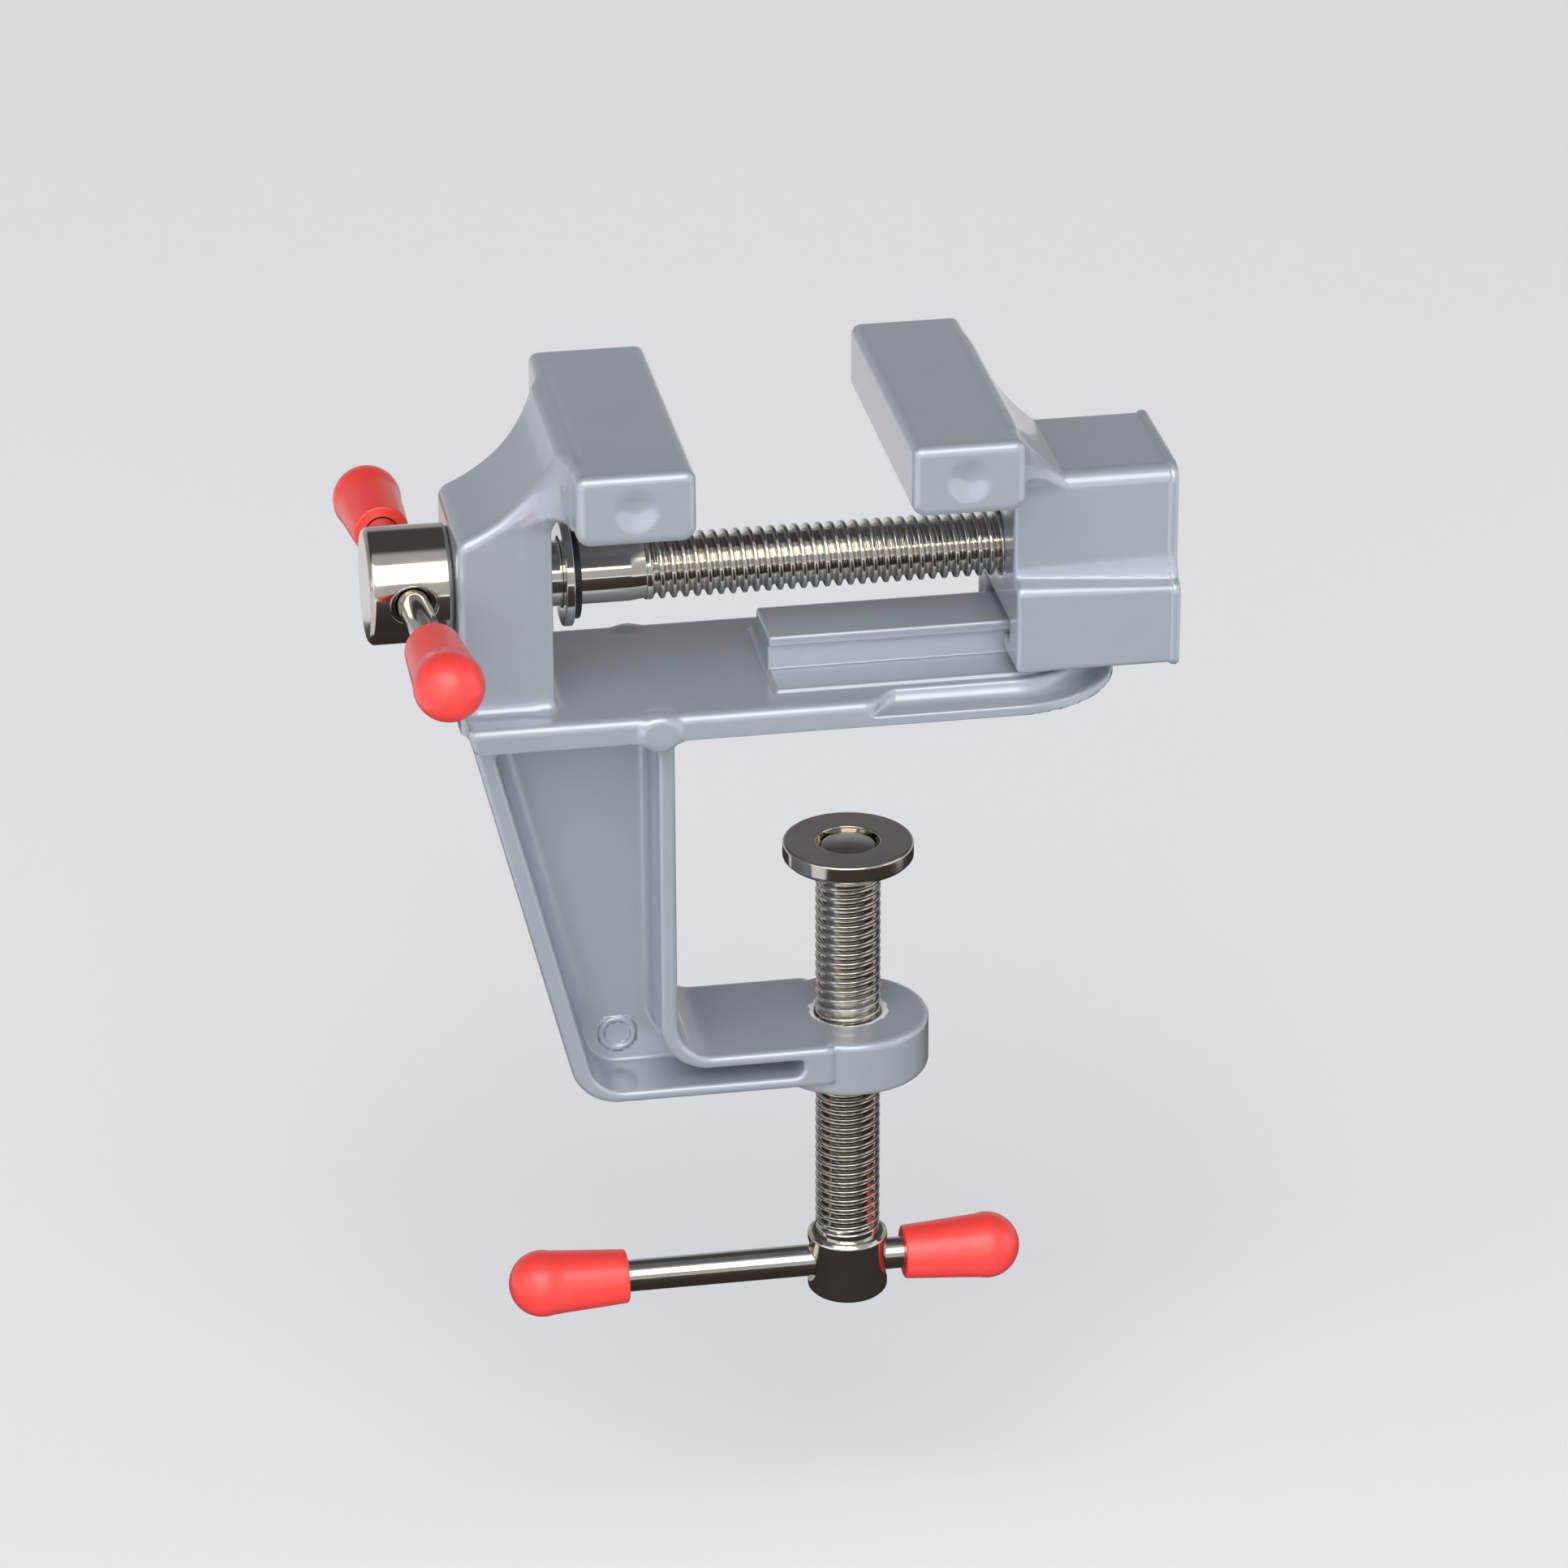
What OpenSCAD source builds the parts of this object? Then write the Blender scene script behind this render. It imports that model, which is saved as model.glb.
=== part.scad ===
// Clamp-on table vise for hobby work: a die-cast frame with a fixed jaw, a slide rail and a C-arm,
// a sliding jaw on a steel screw, and a clamp screw with a swivelling pad that grips a table top.
// X runs along the vise screw, Y across the jaws, Z up. Millimetres. The pieces are drawn with
// the inner face of the C-arm, which meets the table's edge, at x = 0, and placed() then moves
// them so that the origin lies where the clamp screw's axis meets the table's top face.

/* [Jaws] */
// Width of both jaws, across the vise
jaw_w = 40.5; // [36:0.5:60]
// Height of both jaw bars
jaw_h = 8.6; // [6:0.2:12]
// Height of the jaw tops above the table
jaw_top_z = 36.5; // [34:0.5:45]
// Thickness of the fixed jaw's bar
fixed_jaw_t = 13.8; // [8:0.2:18]
// Thickness of the moving jaw's bar
moving_jaw_t = 13.2; // [8:0.1:18]
// Rise of the moving jaw's bar above the fixed jaw's
moving_jaw_rise = 0.9; // [0:0.1:1]
// Reach of the fixed jaw's face past the C-arm's inner face
fixed_face_x = 1.2; // [0:0.2:3]
// Space between the jaws as shown
jaw_gap = 24.9; // [2:0.1:28]
// Width of the flare where a neck meets its bar
flare_w = 31; // [26:0.5:34]
// Rounding of the jaw bars' edges
jaw_round = 1.3; // [0.4:0.1:2]
// Radius of the dimple in each end of the bars
dimple_r = 2.2; // [1:0.1:3]
// Depth of the dimples
dimple_depth = 0.6; // [0.2:0.1:1]

/* [Frame casting] */
// Thickness of the pedestal along the screw
pedestal_t = 11; // [8:0.2:14]
// Width of the pedestal and of the moving jaw's block
neck_w = 19; // [16:0.2:20]
// Height of the pedestal's shoulder, where the neck begins to lean
shoulder_z = 25; // [23.5:0.1:26]
// Radius of the hollow back of both leaning necks
lean_r = 17; // [6:0.5:17]
// Step from the bar's back face to the pedestal's inner face
pedestal_step = 1.4; // [0.6:0.1:3]
// Width of the base
base_w = 27.6; // [25:0.2:34]
// Length of the base past the C-arm's inner face
base_reach = 54; // [50:0.5:60]
// Height of the deck above the table
deck_z = 3.3; // [2.6:0.1:4]
// Thickness of the thin flange round the base
base_flange_t = 1.4; // [0.8:0.1:2]
// Where the wide deck ends and only its flange goes on
wide_deck_x = 22; // [16:0.5:28]
// Inset of the deck from the flange past that place
deck_inset = 3.2; // [1:0.1:4]
// Length of the S-shaped step between the two
step_len = 4; // [2:0.5:6]
// Where the slide rail and its raised track begin
rail_x0 = 12; // [8:0.5:14]
// Rise of the track above the deck
track_rise = 0.5; // [0.3:0.1:0.8]
// Width of the T-rail's head
rail_w = 9; // [8:0.1:10]
// Overhang of the rail's head past its web
rail_lip = 0.9; // [0.5:0.1:1.5]
// Thickness of the rail's head
rail_head_t = 1.4; // [0.8:0.1:1.6]
// Height of the rail's top above the deck
rail_h = 5; // [4.2:0.1:5.2]

/* [C-arm] */
// Depth of the throat, from the table's face to the lower arm
throat_h = 44.1; // [36:0.1:60]
// Reach of the clamp screw's axis past the C-arm's inner face
clamp_x = 22.3; // [18:0.1:28]
// Width of the arm's flanges
arm_w = 19.6; // [16:0.2:22]
// Width of the arm along X at the table's face
arm_top_t = 24; // [20:0.5:24.5]
// Width of the arm along X at its foot
arm_foot_t = 11.7; // [9:0.1:16]
// Height of the lower arm
lower_arm_h = 4.5; // [4:0.1:7]
// Height of the clamp screw's boss
boss_h = 5.5; // [4.6:0.1:9]
// Thickness of the arm's flanges
flange_t = 1.5; // [1.2:0.1:1.7]
// Thickness of the arm's inner and outer flanges, along X
rim_t = 2.4; // [1.8:0.1:3]
// Thickness of the web between the flanges
web_t = 4; // [2.5:0.1:6]
// Radius of the arm's outer corner
heel_r = 6; // [3:0.5:8]
// Radius of the throat's inner corner
throat_r = 4.5; // [3:0.5:6]
// Radius of the round lug under each side of the base
lug_r = 2.3; // [1.5:0.1:2.6]
// How far the lug hangs below the table's face
lug_drop = 1; // [0.3:0.1:1.2]

/* [Moving jaw] */
// Rise of the sloping step from the skirt in to the block's side
sweep_h = 0.8; // [0.6:0.1:1.2]
// Radius of the hollow where that step meets the block's side
sweep_r = 2.4; // [1:0.1:2.4]
// Step from the bar's back face to the block's front face
block_step = 0.9; // [0.6:0.1:3]
// Height of the block above the table
block_top = 28.4; // [27:0.1:30]
// Length of the block along the screw
block_len = 19.5; // [15:0.1:24]
// Width of the skirt round the rail
skirt_w = 23.4; // [22.6:0.1:24.4]
// Height of the step above the table, where the skirt begins
skirt_z = 14.3; // [12:0.1:15]
// Height of the front wall's lower edge above the deck
front_edge_rise = 5.9; // [5.5:0.1:7]
// Thickness of the front wall, which holds the screw's thread
front_wall_t = 8; // [6:0.1:10]
// Thickness of the block's side and top walls
block_wall = 2.4; // [1.8:0.1:3]
// Gap between the sliding parts, all round the rail
slide_gap = 0.35; // [0.3:0.05:0.4]
// Height of the raised rim round the open back
rim_rise = 0.25; // [0.1:0.05:0.4]
// Width of that rim
rim_w = 1.2; // [0.6:0.1:2]

/* [Vise screw] */
// Height of the screw's axis above the table
screw_z = 16.5; // [15:0.1:18]
// Diameter of the vise screw
vise_screw_d = 7.8; // [6:0.1:9]
// Diameter of its head
vise_head_d = 13.8; // [11:0.1:16]
// Length of its head
vise_head_l = 9.8; // [8:0.1:14]
// Length of the plain shank, from the head to the thread
shank_len = 23.4; // [20:0.1:25]
// Length of the thread
vise_thread_len = 53.5; // [50:0.5:56]
// Depth of the retaining clip's groove
groove_depth = 0.7; // [0.4:0.1:1]
// Play of the washer between the pedestal and the clip
washer_play = 2; // [0.3:0.1:2.5]
// Diameter of the washer
washer_d = 12.6; // [11:0.1:16]
// Thickness of the washer
washer_t = 1.1; // [0.6:0.1:1.6]
// Outer diameter of the retaining clip
clip_d = 11; // [10:0.1:12]
// Thickness of the retaining clip
clip_t = 0.8; // [0.6:0.1:1.2]
// Mouth of the retaining clip
clip_mouth = 5; // [3:0.1:6]

/* [Clamp screw] */
// Diameter of the clamp screw
clamp_screw_d = 8; // [6:0.1:9]
// Diameter of its head
clamp_head_d = 9.8; // [8.5:0.1:14]
// Length of its head
clamp_head_l = 8.2; // [7:0.1:12]
// Length of its thread
clamp_thread_len = 49.9; // [48:0.1:56]
// Thickness of the table that is clamped as shown
table_t = 21; // [4:0.5:38]
// Diameter of the swivelling pad
pad_d = 15.8; // [14:0.1:20]
// Height of the pad
pad_h = 2.9; // [2.4:0.1:4]
// Diameter of the screw's tip, on which the pad turns
tip_d = 5; // [4:0.1:5.6]
// Diameter of the riveted end that holds the pad
rivet_d = 7; // [6.4:0.1:8]
// Thickness of the riveted end
rivet_t = 0.8; // [0.5:0.1:1]

/* [Handles] */
// Diameter of both handle rods
rod_d = 3.9; // [3:0.1:4.4]
// Length of both handle rods
rod_len = 55.5; // [50:0.5:58]
// How far the vise handle lies off its middle, away from the viewer
vise_handle_shift = -1.8; // [-8:0.1:8]
// Distance of the vise handle's hole from the inner end of the screw's head
vise_hole_in = 5.15; // [4.6:0.05:5.2]
// Angle by which that hole, and the handle in it, lie askew to the jaws
vise_handle_lean = 3; // [0:0.5:3]
// How far the clamp handle lies off its middle, along X
clamp_handle_shift = -10.3; // [-11:0.1:11]
// Length of the soft cap from its mouth to the middle of its round end
cap_len = 10.5; // [8:0.5:13]
// Diameter of the cap's round end
cap_d = 8.2; // [7:0.1:10]
// Diameter of the cap's mouth
cap_mouth_d = 6.6; // [5.6:0.1:8]

/* [Fits] */
// Radial clearance of screws and rods in their bores
run_gap = 0.06; // [0.03:0.01:0.09]
// Clearance of loose pieces, such as the washer, the clip and the pad
loose_gap = 0.3; // [0.2:0.05:0.4]
// Clearance of a seated piece against its seat
seat_gap = 0.05; // [0.03:0.01:0.1]
// Chamfer on the screws' edges
chamfer = 0.5; // [0.2:0.1:0.8]

/* [Hidden] */
$fn = 64;
ARC_STEPS = 8;
overrun = 1;

// Colours as they look in daylight
CASTING = "#9aa0a8";
STEEL = "#b9b4ac";
BLACK = "#22242a";
RED = "#ee2b36";

// Places along X
bar_x0 = fixed_face_x - fixed_jaw_t;
ped_x1 = bar_x0 - pedestal_step;
ped_x0 = ped_x1 - pedestal_t;
head_x0 = ped_x0 - seat_gap - vise_head_l;
clip_x0 = ped_x1 + washer_play + washer_t + seat_gap;
moving_x0 = fixed_face_x + jaw_gap;
moving_bar_x1 = moving_x0 + moving_jaw_t;
vise_hole_x = head_x0 + vise_head_l - vise_hole_in;
block_x0 = moving_bar_x1 + block_step;
block_x1 = block_x0 + block_len;
thread_x1 = ped_x0 - seat_gap + shank_len + vise_thread_len;

// Heights
moving_top_z = jaw_top_z + moving_jaw_rise;
track_z = deck_z + track_rise;
rail_top = deck_z + rail_h;
rail_neck = rail_top - rail_head_t;
foot_z0 = track_z + slide_gap;
foot_z1 = rail_neck - slide_gap;
front_edge_z = deck_z + front_edge_rise;
arm_bottom = -throat_h - lower_arm_h;
pad_top = -table_t;
pad_bottom = pad_top - pad_h;
thread_top = pad_bottom - loose_gap;
clamp_head_z1 = thread_top - clamp_thread_len;
clamp_head_z0 = clamp_head_z1 - clamp_head_l;
clamp_rod_z = clamp_head_z1 - clamp_head_l / 2;

// Widths
half_jaw = jaw_w / 2;
half_neck = neck_w / 2;
half_flare = flare_w / 2;
half_base = base_w / 2;
half_skirt = skirt_w / 2;
half_arm = arm_w / 2;
half_deck = half_base - deck_inset;
half_hollow = half_neck - block_wall;
end_x = base_reach - half_base;
flare_r = half_flare - half_neck;
cove_r = flare_r / 2;
screw_r = vise_screw_d / 2;
rod_r = rod_d / 2;

// A neck's lean: its top end, as a share of the neck's length past the bar, and the corner that its
// hollow rounds, as shares of the neck's length past the bar and of its drop below the bar's top
LEAN_TOP_SHARE = 0.05;
LEAN_BEND_SHARES = [0.3, 0.74];
// Rounding of the base's lip, as a share of its height
LIP_SHARE = 0.35;
// End of the rail, as a share of the deck's end radius
RAIL_END_SHARE = 0.94;
// Where the sunk side of the arm ends, as a share of the boss's radius
POCKET_END_SHARE = 0.72;

// A corner list [x, y, radius] becomes a closed outline with round corners
function unit(v) = v / norm(v);
function corner(a, b, c, r) =
    r == 0 ? [b] :
    let (
        u = unit(a - b),
        v = unit(c - b),
        half = acos(u * v) / 2,
        centre = b + unit(u + v) * r / sin(half),
        start = b + u * r / tan(half) - centre,
        stop = b + v * r / tan(half) - centre,
        from = atan2(start.y, start.x),
        sweep = (atan2(stop.y, stop.x) - from + 540) % 360 - 180
    )
    [for (i = [0:ARC_STEPS]) centre + r * [cos(from + sweep * i / ARC_STEPS), sin(from + sweep * i / ARC_STEPS)]];
function xy(p) = [p.x, p.y];
function rounded(p) = let (n = len(p)) [
    for (i = [0:n - 1]) each corner(xy(p[(i + n - 1) % n]), xy(p[i]), xy(p[(i + 1) % n]), p[i][2])
];
// The other half of an outline that is symmetric about its second axis
function mirrored(p) = concat(p, [for (i = [len(p) - 1:-1:0]) [-p[i].x, p[i].y, p[i][2]]]);

// Extrusions of an outline seen from the side (X, Z), the front (Y, Z) and above (X, Y)
module side(points, w) {
    translate([0, w / 2, 0]) rotate([90, 0, 0]) linear_extrude(w) polygon(points);
}
module front(points, x0, x1) {
    translate([x0, 0, 0]) rotate([90, 0, 90]) linear_extrude(x1 - x0) polygon(points);
}
module plan(points, z0, z1) {
    translate([0, 0, z0]) linear_extrude(z1 - z0) polygon(points);
}
module along_x(x, z) {
    translate([x, 0, z]) rotate([0, 90, 0]) children();
}
module along_y(x, y, z) {
    translate([x, y, z]) rotate([-90, 0, 0]) children();
}

// A bar with every edge rounded: the common part of three rounded outlines
function box_outline(a0, a1, b0, b1, r) = rounded([[a0, b0, r], [a1, b0, r], [a1, b1, r], [a0, b1, r]]);
module jaw_bar(x0, x1, top) {
    difference() {
        intersection() {
            side(box_outline(x0, x1, top - jaw_h, top, jaw_round), jaw_w);
            front(box_outline(-half_jaw, half_jaw, top - jaw_h, top, jaw_round), x0, x1);
            plan(box_outline(x0, x1, -half_jaw, half_jaw, jaw_round), top - jaw_h, top);
        }
        bar_dimples((x0 + x1) / 2, top - jaw_h / 2);
    }
}
// The dished marks in both ends of a bar are cut by large spheres
module bar_dimples(x, z) {
    ball_r = (dimple_r * dimple_r + dimple_depth * dimple_depth) / (2 * dimple_depth);
    for (s = [-1, 1])
        translate([x, s * (half_jaw + ball_r - dimple_depth), z]) sphere(ball_r);
}

// The front outline of a neck: a post that widens under a cove to the jaw's full width
function neck_front(top) = rounded(mirrored([
    [half_neck, 0, 0],
    [half_neck, top - jaw_h, cove_r],
    [half_jaw, top - jaw_h, 0],
    [half_jaw, top, 0]
]));
// The plan of a neck, from its far end at x to the bar's middle, flaring where it meets the bar's back
function neck_plan(x, bar_back, bar_middle, end_round) = rounded([
    [x, half_neck, end_round],
    [bar_back, half_neck, flare_r],
    [bar_back, half_flare, 0],
    [bar_middle, half_flare, 0],
    [bar_middle, -half_flare, 0],
    [bar_back, -half_flare, 0],
    [bar_back, -half_neck, flare_r],
    [x, -half_neck, end_round]
]);
// The largest radius that rounds the corner b and leaves a rounded edge at both its neighbours
function widest(a, b, c) =
    (min(norm(a - b), norm(c - b)) - jaw_round) * tan(acos(unit(a - b) * unit(c - b)) / 2);
// The corners of a neck's back, seen from the side: from the bar's top, down the hollow lean, to the
// shoulder. Both necks have it, and way says on which side of its bar it lies along X
function lean(bar_back, top, way) = let (
    reach = pedestal_step + pedestal_t,
    drop = jaw_top_z - shoulder_z,
    start = [bar_back + way * LEAN_TOP_SHARE * reach, top],
    bend = [bar_back + way * LEAN_BEND_SHARES[0] * reach, top - LEAN_BEND_SHARES[1] * drop],
    shoulder = [bar_back + way * reach, top - drop]
) [
    [start.x, start.y, jaw_round],
    [bend.x, bend.y, min(lean_r, widest(start, bend, shoulder))],
    [shoulder.x, shoulder.y, jaw_round]
];

// Half a circle about (x, 0), from the far side round the end to the near side
function round_end(x, r) = [
    for (i = [0:4 * ARC_STEPS]) let (a = 90 - 45 * i / ARC_STEPS) [x + r * cos(a), r * sin(a)]
];

// Frame casting
// The base as seen from above, whose sides step in to half_end along a raised cosine
module base_outline(half_end) {
    step = [for (i = [0:ARC_STEPS]) [
        wide_deck_x + step_len * i / ARC_STEPS,
        half_base - (half_base - half_end) * (1 - cos(180 * i / ARC_STEPS)) / 2
    ]];
    back_step = [for (i = [ARC_STEPS:-1:0]) [step[i].x, -step[i].y]];
    polygon(concat(
        [[ped_x0, half_base]], step, round_end(end_x, half_end), back_step, [[ped_x0, -half_base]]
    ));
}
module base() {
    lip = mirrored([[half_base, 0, 0], [half_base, deck_z, LIP_SHARE * deck_z]]);
    intersection() {
        union() {
            linear_extrude(base_flange_t) base_outline(half_base);
            linear_extrude(deck_z) base_outline(half_deck);
        }
        front(rounded(lip), ped_x0, base_reach);
        // The back end slants on into the arm's outer flange
        side([[-arm_top_t, 0], [base_reach, 0], [base_reach, deck_z], [ped_x0, deck_z]], base_w);
    }
    slide_rail();
    for (y = [-half_base, half_arm])
        along_y(-lug_r, y, lug_r - lug_drop) cylinder(r = lug_r, h = half_base - half_arm);
}
// A raised track, and the T-rail that holds the moving jaw down
module slide_rail() {
    half_track = half_deck - 2 * track_rise;
    half_web = rail_w / 2 - rail_lip;
    translate([0, 0, base_flange_t]) linear_extrude(track_z - base_flange_t)
        polygon(concat([[rail_x0, half_track]], round_end(end_x, half_track), [[rail_x0, -half_track]]));
    front(rounded(mirrored([
        [half_web, base_flange_t, 0],
        [half_web, rail_neck, 0],
        [rail_w / 2, rail_neck, 0],
        [rail_w / 2, rail_top, rail_head_t / 4]
    ])), rail_x0, end_x + RAIL_END_SHARE * half_deck);
}

// The slanting outer line of the arm at a height z below the table's face
function arm_line(z) = -arm_top_t + (arm_top_t - arm_foot_t) * z / arm_bottom;
module arm() {
    // Both sides of the arm are sunk to leave an I-section all the way round to the boss
    pocket_top = -flange_t;
    pocket_low = arm_bottom + flange_t;
    pocket_end = clamp_x - POCKET_END_SHARE * half_arm;
    pocket = rounded([
        [arm_line(pocket_top) + rim_t, pocket_top, flange_t],
        [-rim_t, pocket_top, flange_t],
        [-rim_t, -throat_h - flange_t, throat_r + flange_t],
        [pocket_end, -throat_h - flange_t, flange_t / 4],
        [pocket_end, pocket_low, flange_t / 4],
        [arm_line(pocket_low) + rim_t, pocket_low, heel_r - flange_t]
    ]);
    difference() {
        union() {
            side(rounded([
                [-arm_top_t, 0, 0],
                [arm_line(arm_bottom), arm_bottom, heel_r],
                [clamp_x, arm_bottom, 0],
                [clamp_x, -throat_h, 0],
                [0, -throat_h, throat_r],
                [0, 0, 0]
            ]), arm_w);
            translate([clamp_x, 0, -throat_h - boss_h]) cylinder(r = half_arm, h = boss_h);
        }
        for (s = [-1, 1])
            translate([0, s * (web_t + arm_w) / 2, 0]) side(pocket, arm_w);
    }
}
// The pedestal and the leaning, flaring neck: what its side, plan and front outlines share
module pedestal() {
    bottom = jaw_top_z - jaw_h;
    intersection() {
        side(rounded(concat(
            lean(bar_x0, jaw_top_z, -1),
            [
                [ped_x0, 0, 0],
                [ped_x1, 0, 0],
                [ped_x1, bottom, cove_r],
                [bar_x0 + jaw_round * 2, bottom, 0],
                [bar_x0 + jaw_round * 2, jaw_top_z, 0]
            ]
        )), jaw_w);
        plan(neck_plan(ped_x0, bar_x0, bar_x0 + fixed_jaw_t / 2, jaw_round), 0, jaw_top_z);
        front(neck_front(jaw_top_z), ped_x0, fixed_face_x);
    }
}
module frame_casting() color(CASTING) {
    difference() {
        union() {
            base();
            arm();
            pedestal();
            jaw_bar(bar_x0, fixed_face_x, jaw_top_z);
        }
        along_x(ped_x0 - overrun, screw_z)
            cylinder(r = screw_r + run_gap, h = pedestal_t + 2 * overrun);
        translate([clamp_x, 0, -throat_h - boss_h - overrun])
            cylinder(r = clamp_screw_d / 2 + run_gap, h = boss_h + 2 * overrun);
    }
}

// Moving jaw
// The block's front outline: a skirt round the rail, and a narrower body above a swept step
function block_front(grow = 0) = rounded(mirrored([
    [half_skirt + grow, foot_z0, jaw_round / 2],
    [half_skirt + grow, skirt_z, jaw_round / 3],
    [half_neck + grow, skirt_z + sweep_h, sweep_r],
    [half_neck + grow, block_top + grow, jaw_round / 2]
]));
// The flared neck, whose lean runs down into the block's top: what its three outlines share
module moving_neck() {
    bottom = moving_top_z - jaw_h;
    neck_end_x = moving_bar_x1 + pedestal_step + pedestal_t;
    intersection() {
        side(rounded(concat(
            lean(moving_bar_x1, moving_top_z, 1),
            [
                [neck_end_x, skirt_z, 0],
                [block_x0, skirt_z, 0],
                [block_x0, bottom, block_step],
                [moving_bar_x1 - 2 * jaw_round, bottom, 0],
                [moving_bar_x1 - 2 * jaw_round, moving_top_z, 0]
            ]
        )), jaw_w);
        plan(neck_plan(block_x1, moving_bar_x1, (moving_x0 + moving_bar_x1) / 2, 0), 0, moving_top_z);
        front(neck_front(moving_top_z), moving_x0, block_x1);
    }
}
// The block is open behind and below: a hollow for the screw, and a slot that fits the T-rail
module block_hollow() {
    inner_x = block_x0 + front_wall_t;
    front(box_outline(-half_hollow, half_hollow, foot_z1, block_top - block_wall, block_wall / 2),
        inner_x, block_x1 + overrun);
    front(box_outline(-half_hollow, half_hollow, foot_z1, front_edge_z, 0),
        block_x0 - overrun, block_x1 + overrun);
    half_slot = rail_w / 2 - rail_lip + slide_gap;
    front(box_outline(-half_slot, half_slot, foot_z0 - overrun, foot_z1 + overrun, 0),
        block_x0 - overrun, block_x1 + overrun);
}
module moving_jaw() color(CASTING) {
    difference() {
        union() {
            jaw_bar(moving_x0, moving_bar_x1, moving_top_z);
            moving_neck();
            front(block_front(), block_x0, block_x1);
            front(block_front(rim_rise), block_x1 - rim_w, block_x1);
        }
        block_hollow();
        along_x(block_x0 - overrun, screw_z)
            cylinder(r = screw_r + run_gap, h = front_wall_t + 2 * overrun);
    }
}

// Turned pieces, as outlines of radius and length
module turned(points) {
    rotate_extrude() polygon(points);
}
// A cross hole for a handle rod, with a countersink at each mouth
module cross_hole(head_d) {
    r = rod_r + run_gap;
    turned([
        [0, -head_d / 2 - overrun],
        [r + chamfer + overrun, -head_d / 2 - overrun],
        [r, -head_d / 2 + chamfer],
        [r, head_d / 2 - chamfer],
        [r + chamfer + overrun, head_d / 2 + overrun],
        [0, head_d / 2 + overrun]
    ]);
}

// The place and direction of the hole in the vise screw's head
module in_vise_head() {
    translate([vise_hole_x, 0, screw_z]) rotate([0, 0, vise_handle_lean]) rotate([-90, 0, 0]) children();
}
// Vise screw: head, shank with a groove for the clip, and thread, drawn at its outer diameter
module vise_screw() color(STEEL) {
    head_r = vise_head_d / 2;
    groove_r = screw_r - groove_depth;
    groove_z0 = clip_x0 - seat_gap - head_x0;
    groove_z1 = clip_x0 + clip_t + seat_gap - head_x0;
    end_z = thread_x1 - head_x0;
    difference() {
        along_x(head_x0, screw_z) turned([
            [0, 0],
            [head_r - chamfer, 0],
            [head_r, chamfer],
            [head_r, vise_head_l - chamfer],
            [head_r - chamfer, vise_head_l],
            [screw_r, vise_head_l],
            [screw_r, groove_z0],
            [groove_r, groove_z0],
            [groove_r, groove_z1],
            [screw_r, groove_z1],
            [screw_r, end_z - chamfer],
            [screw_r - chamfer, end_z],
            [0, end_z]
        ]);
        in_vise_head() cross_hole(vise_head_d);
    }
}
module thrust_washer() color(STEEL) {
    along_x(ped_x1 + washer_play, screw_z) difference() {
        cylinder(d = washer_d, h = washer_t);
        translate([0, 0, -overrun]) cylinder(r = screw_r + loose_gap, h = washer_t + 2 * overrun);
    }
}
// A snap-on clip with three inner lugs that reach into the groove, and a mouth
module retaining_clip() color(BLACK) {
    groove_r = screw_r - groove_depth;
    along_x(clip_x0, screw_z) linear_extrude(clip_t) difference() {
        union() {
            difference() {
                circle(d = clip_d);
                circle(r = screw_r + seat_gap);
            }
            for (a = [0, 120, 240]) intersection() {
                difference() {
                    circle(r = screw_r + groove_depth);
                    circle(r = groove_r + seat_gap);
                }
                rotate(a) translate([-clip_d, -groove_depth]) square([clip_d, 2 * groove_depth]);
            }
        }
        translate([0, -clip_mouth / 2]) square([clip_d, clip_mouth]);
    }
}

// Handles: a plain rod with a soft cap on each end, both alike
module handle_rod() color(STEEL) {
    turned([
        [0, -rod_len / 2],
        [rod_r - chamfer, -rod_len / 2],
        [rod_r, -rod_len / 2 + chamfer],
        [rod_r, rod_len / 2 - chamfer],
        [rod_r - chamfer, rod_len / 2],
        [0, rod_len / 2]
    ]);
}
module soft_cap(end) color(RED) {
    rotate([end > 0 ? 0 : 180, 0, 0]) translate([0, 0, rod_len / 2 - cap_len]) difference() {
        union() {
            cylinder(d1 = cap_mouth_d, d2 = cap_d, h = cap_len);
            translate([0, 0, cap_len]) sphere(d = cap_d);
        }
        translate([0, 0, -overrun]) cylinder(r = rod_r + seat_gap, h = cap_len + overrun + seat_gap);
    }
}
module on_vise_screw() {
    in_vise_head() translate([0, 0, vise_handle_shift]) children();
}
module on_clamp_screw() {
    along_x(clamp_x + clamp_handle_shift, clamp_rod_z) children();
}
module vise_handle_rod() { on_vise_screw() handle_rod(); }
module vise_handle_cap_near() { on_vise_screw() soft_cap(-1); }
module vise_handle_cap_far() { on_vise_screw() soft_cap(1); }
module clamp_handle_rod() { on_clamp_screw() handle_rod(); }
module clamp_handle_cap_left() { on_clamp_screw() soft_cap(-1); }
module clamp_handle_cap_right() { on_clamp_screw() soft_cap(1); }

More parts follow.
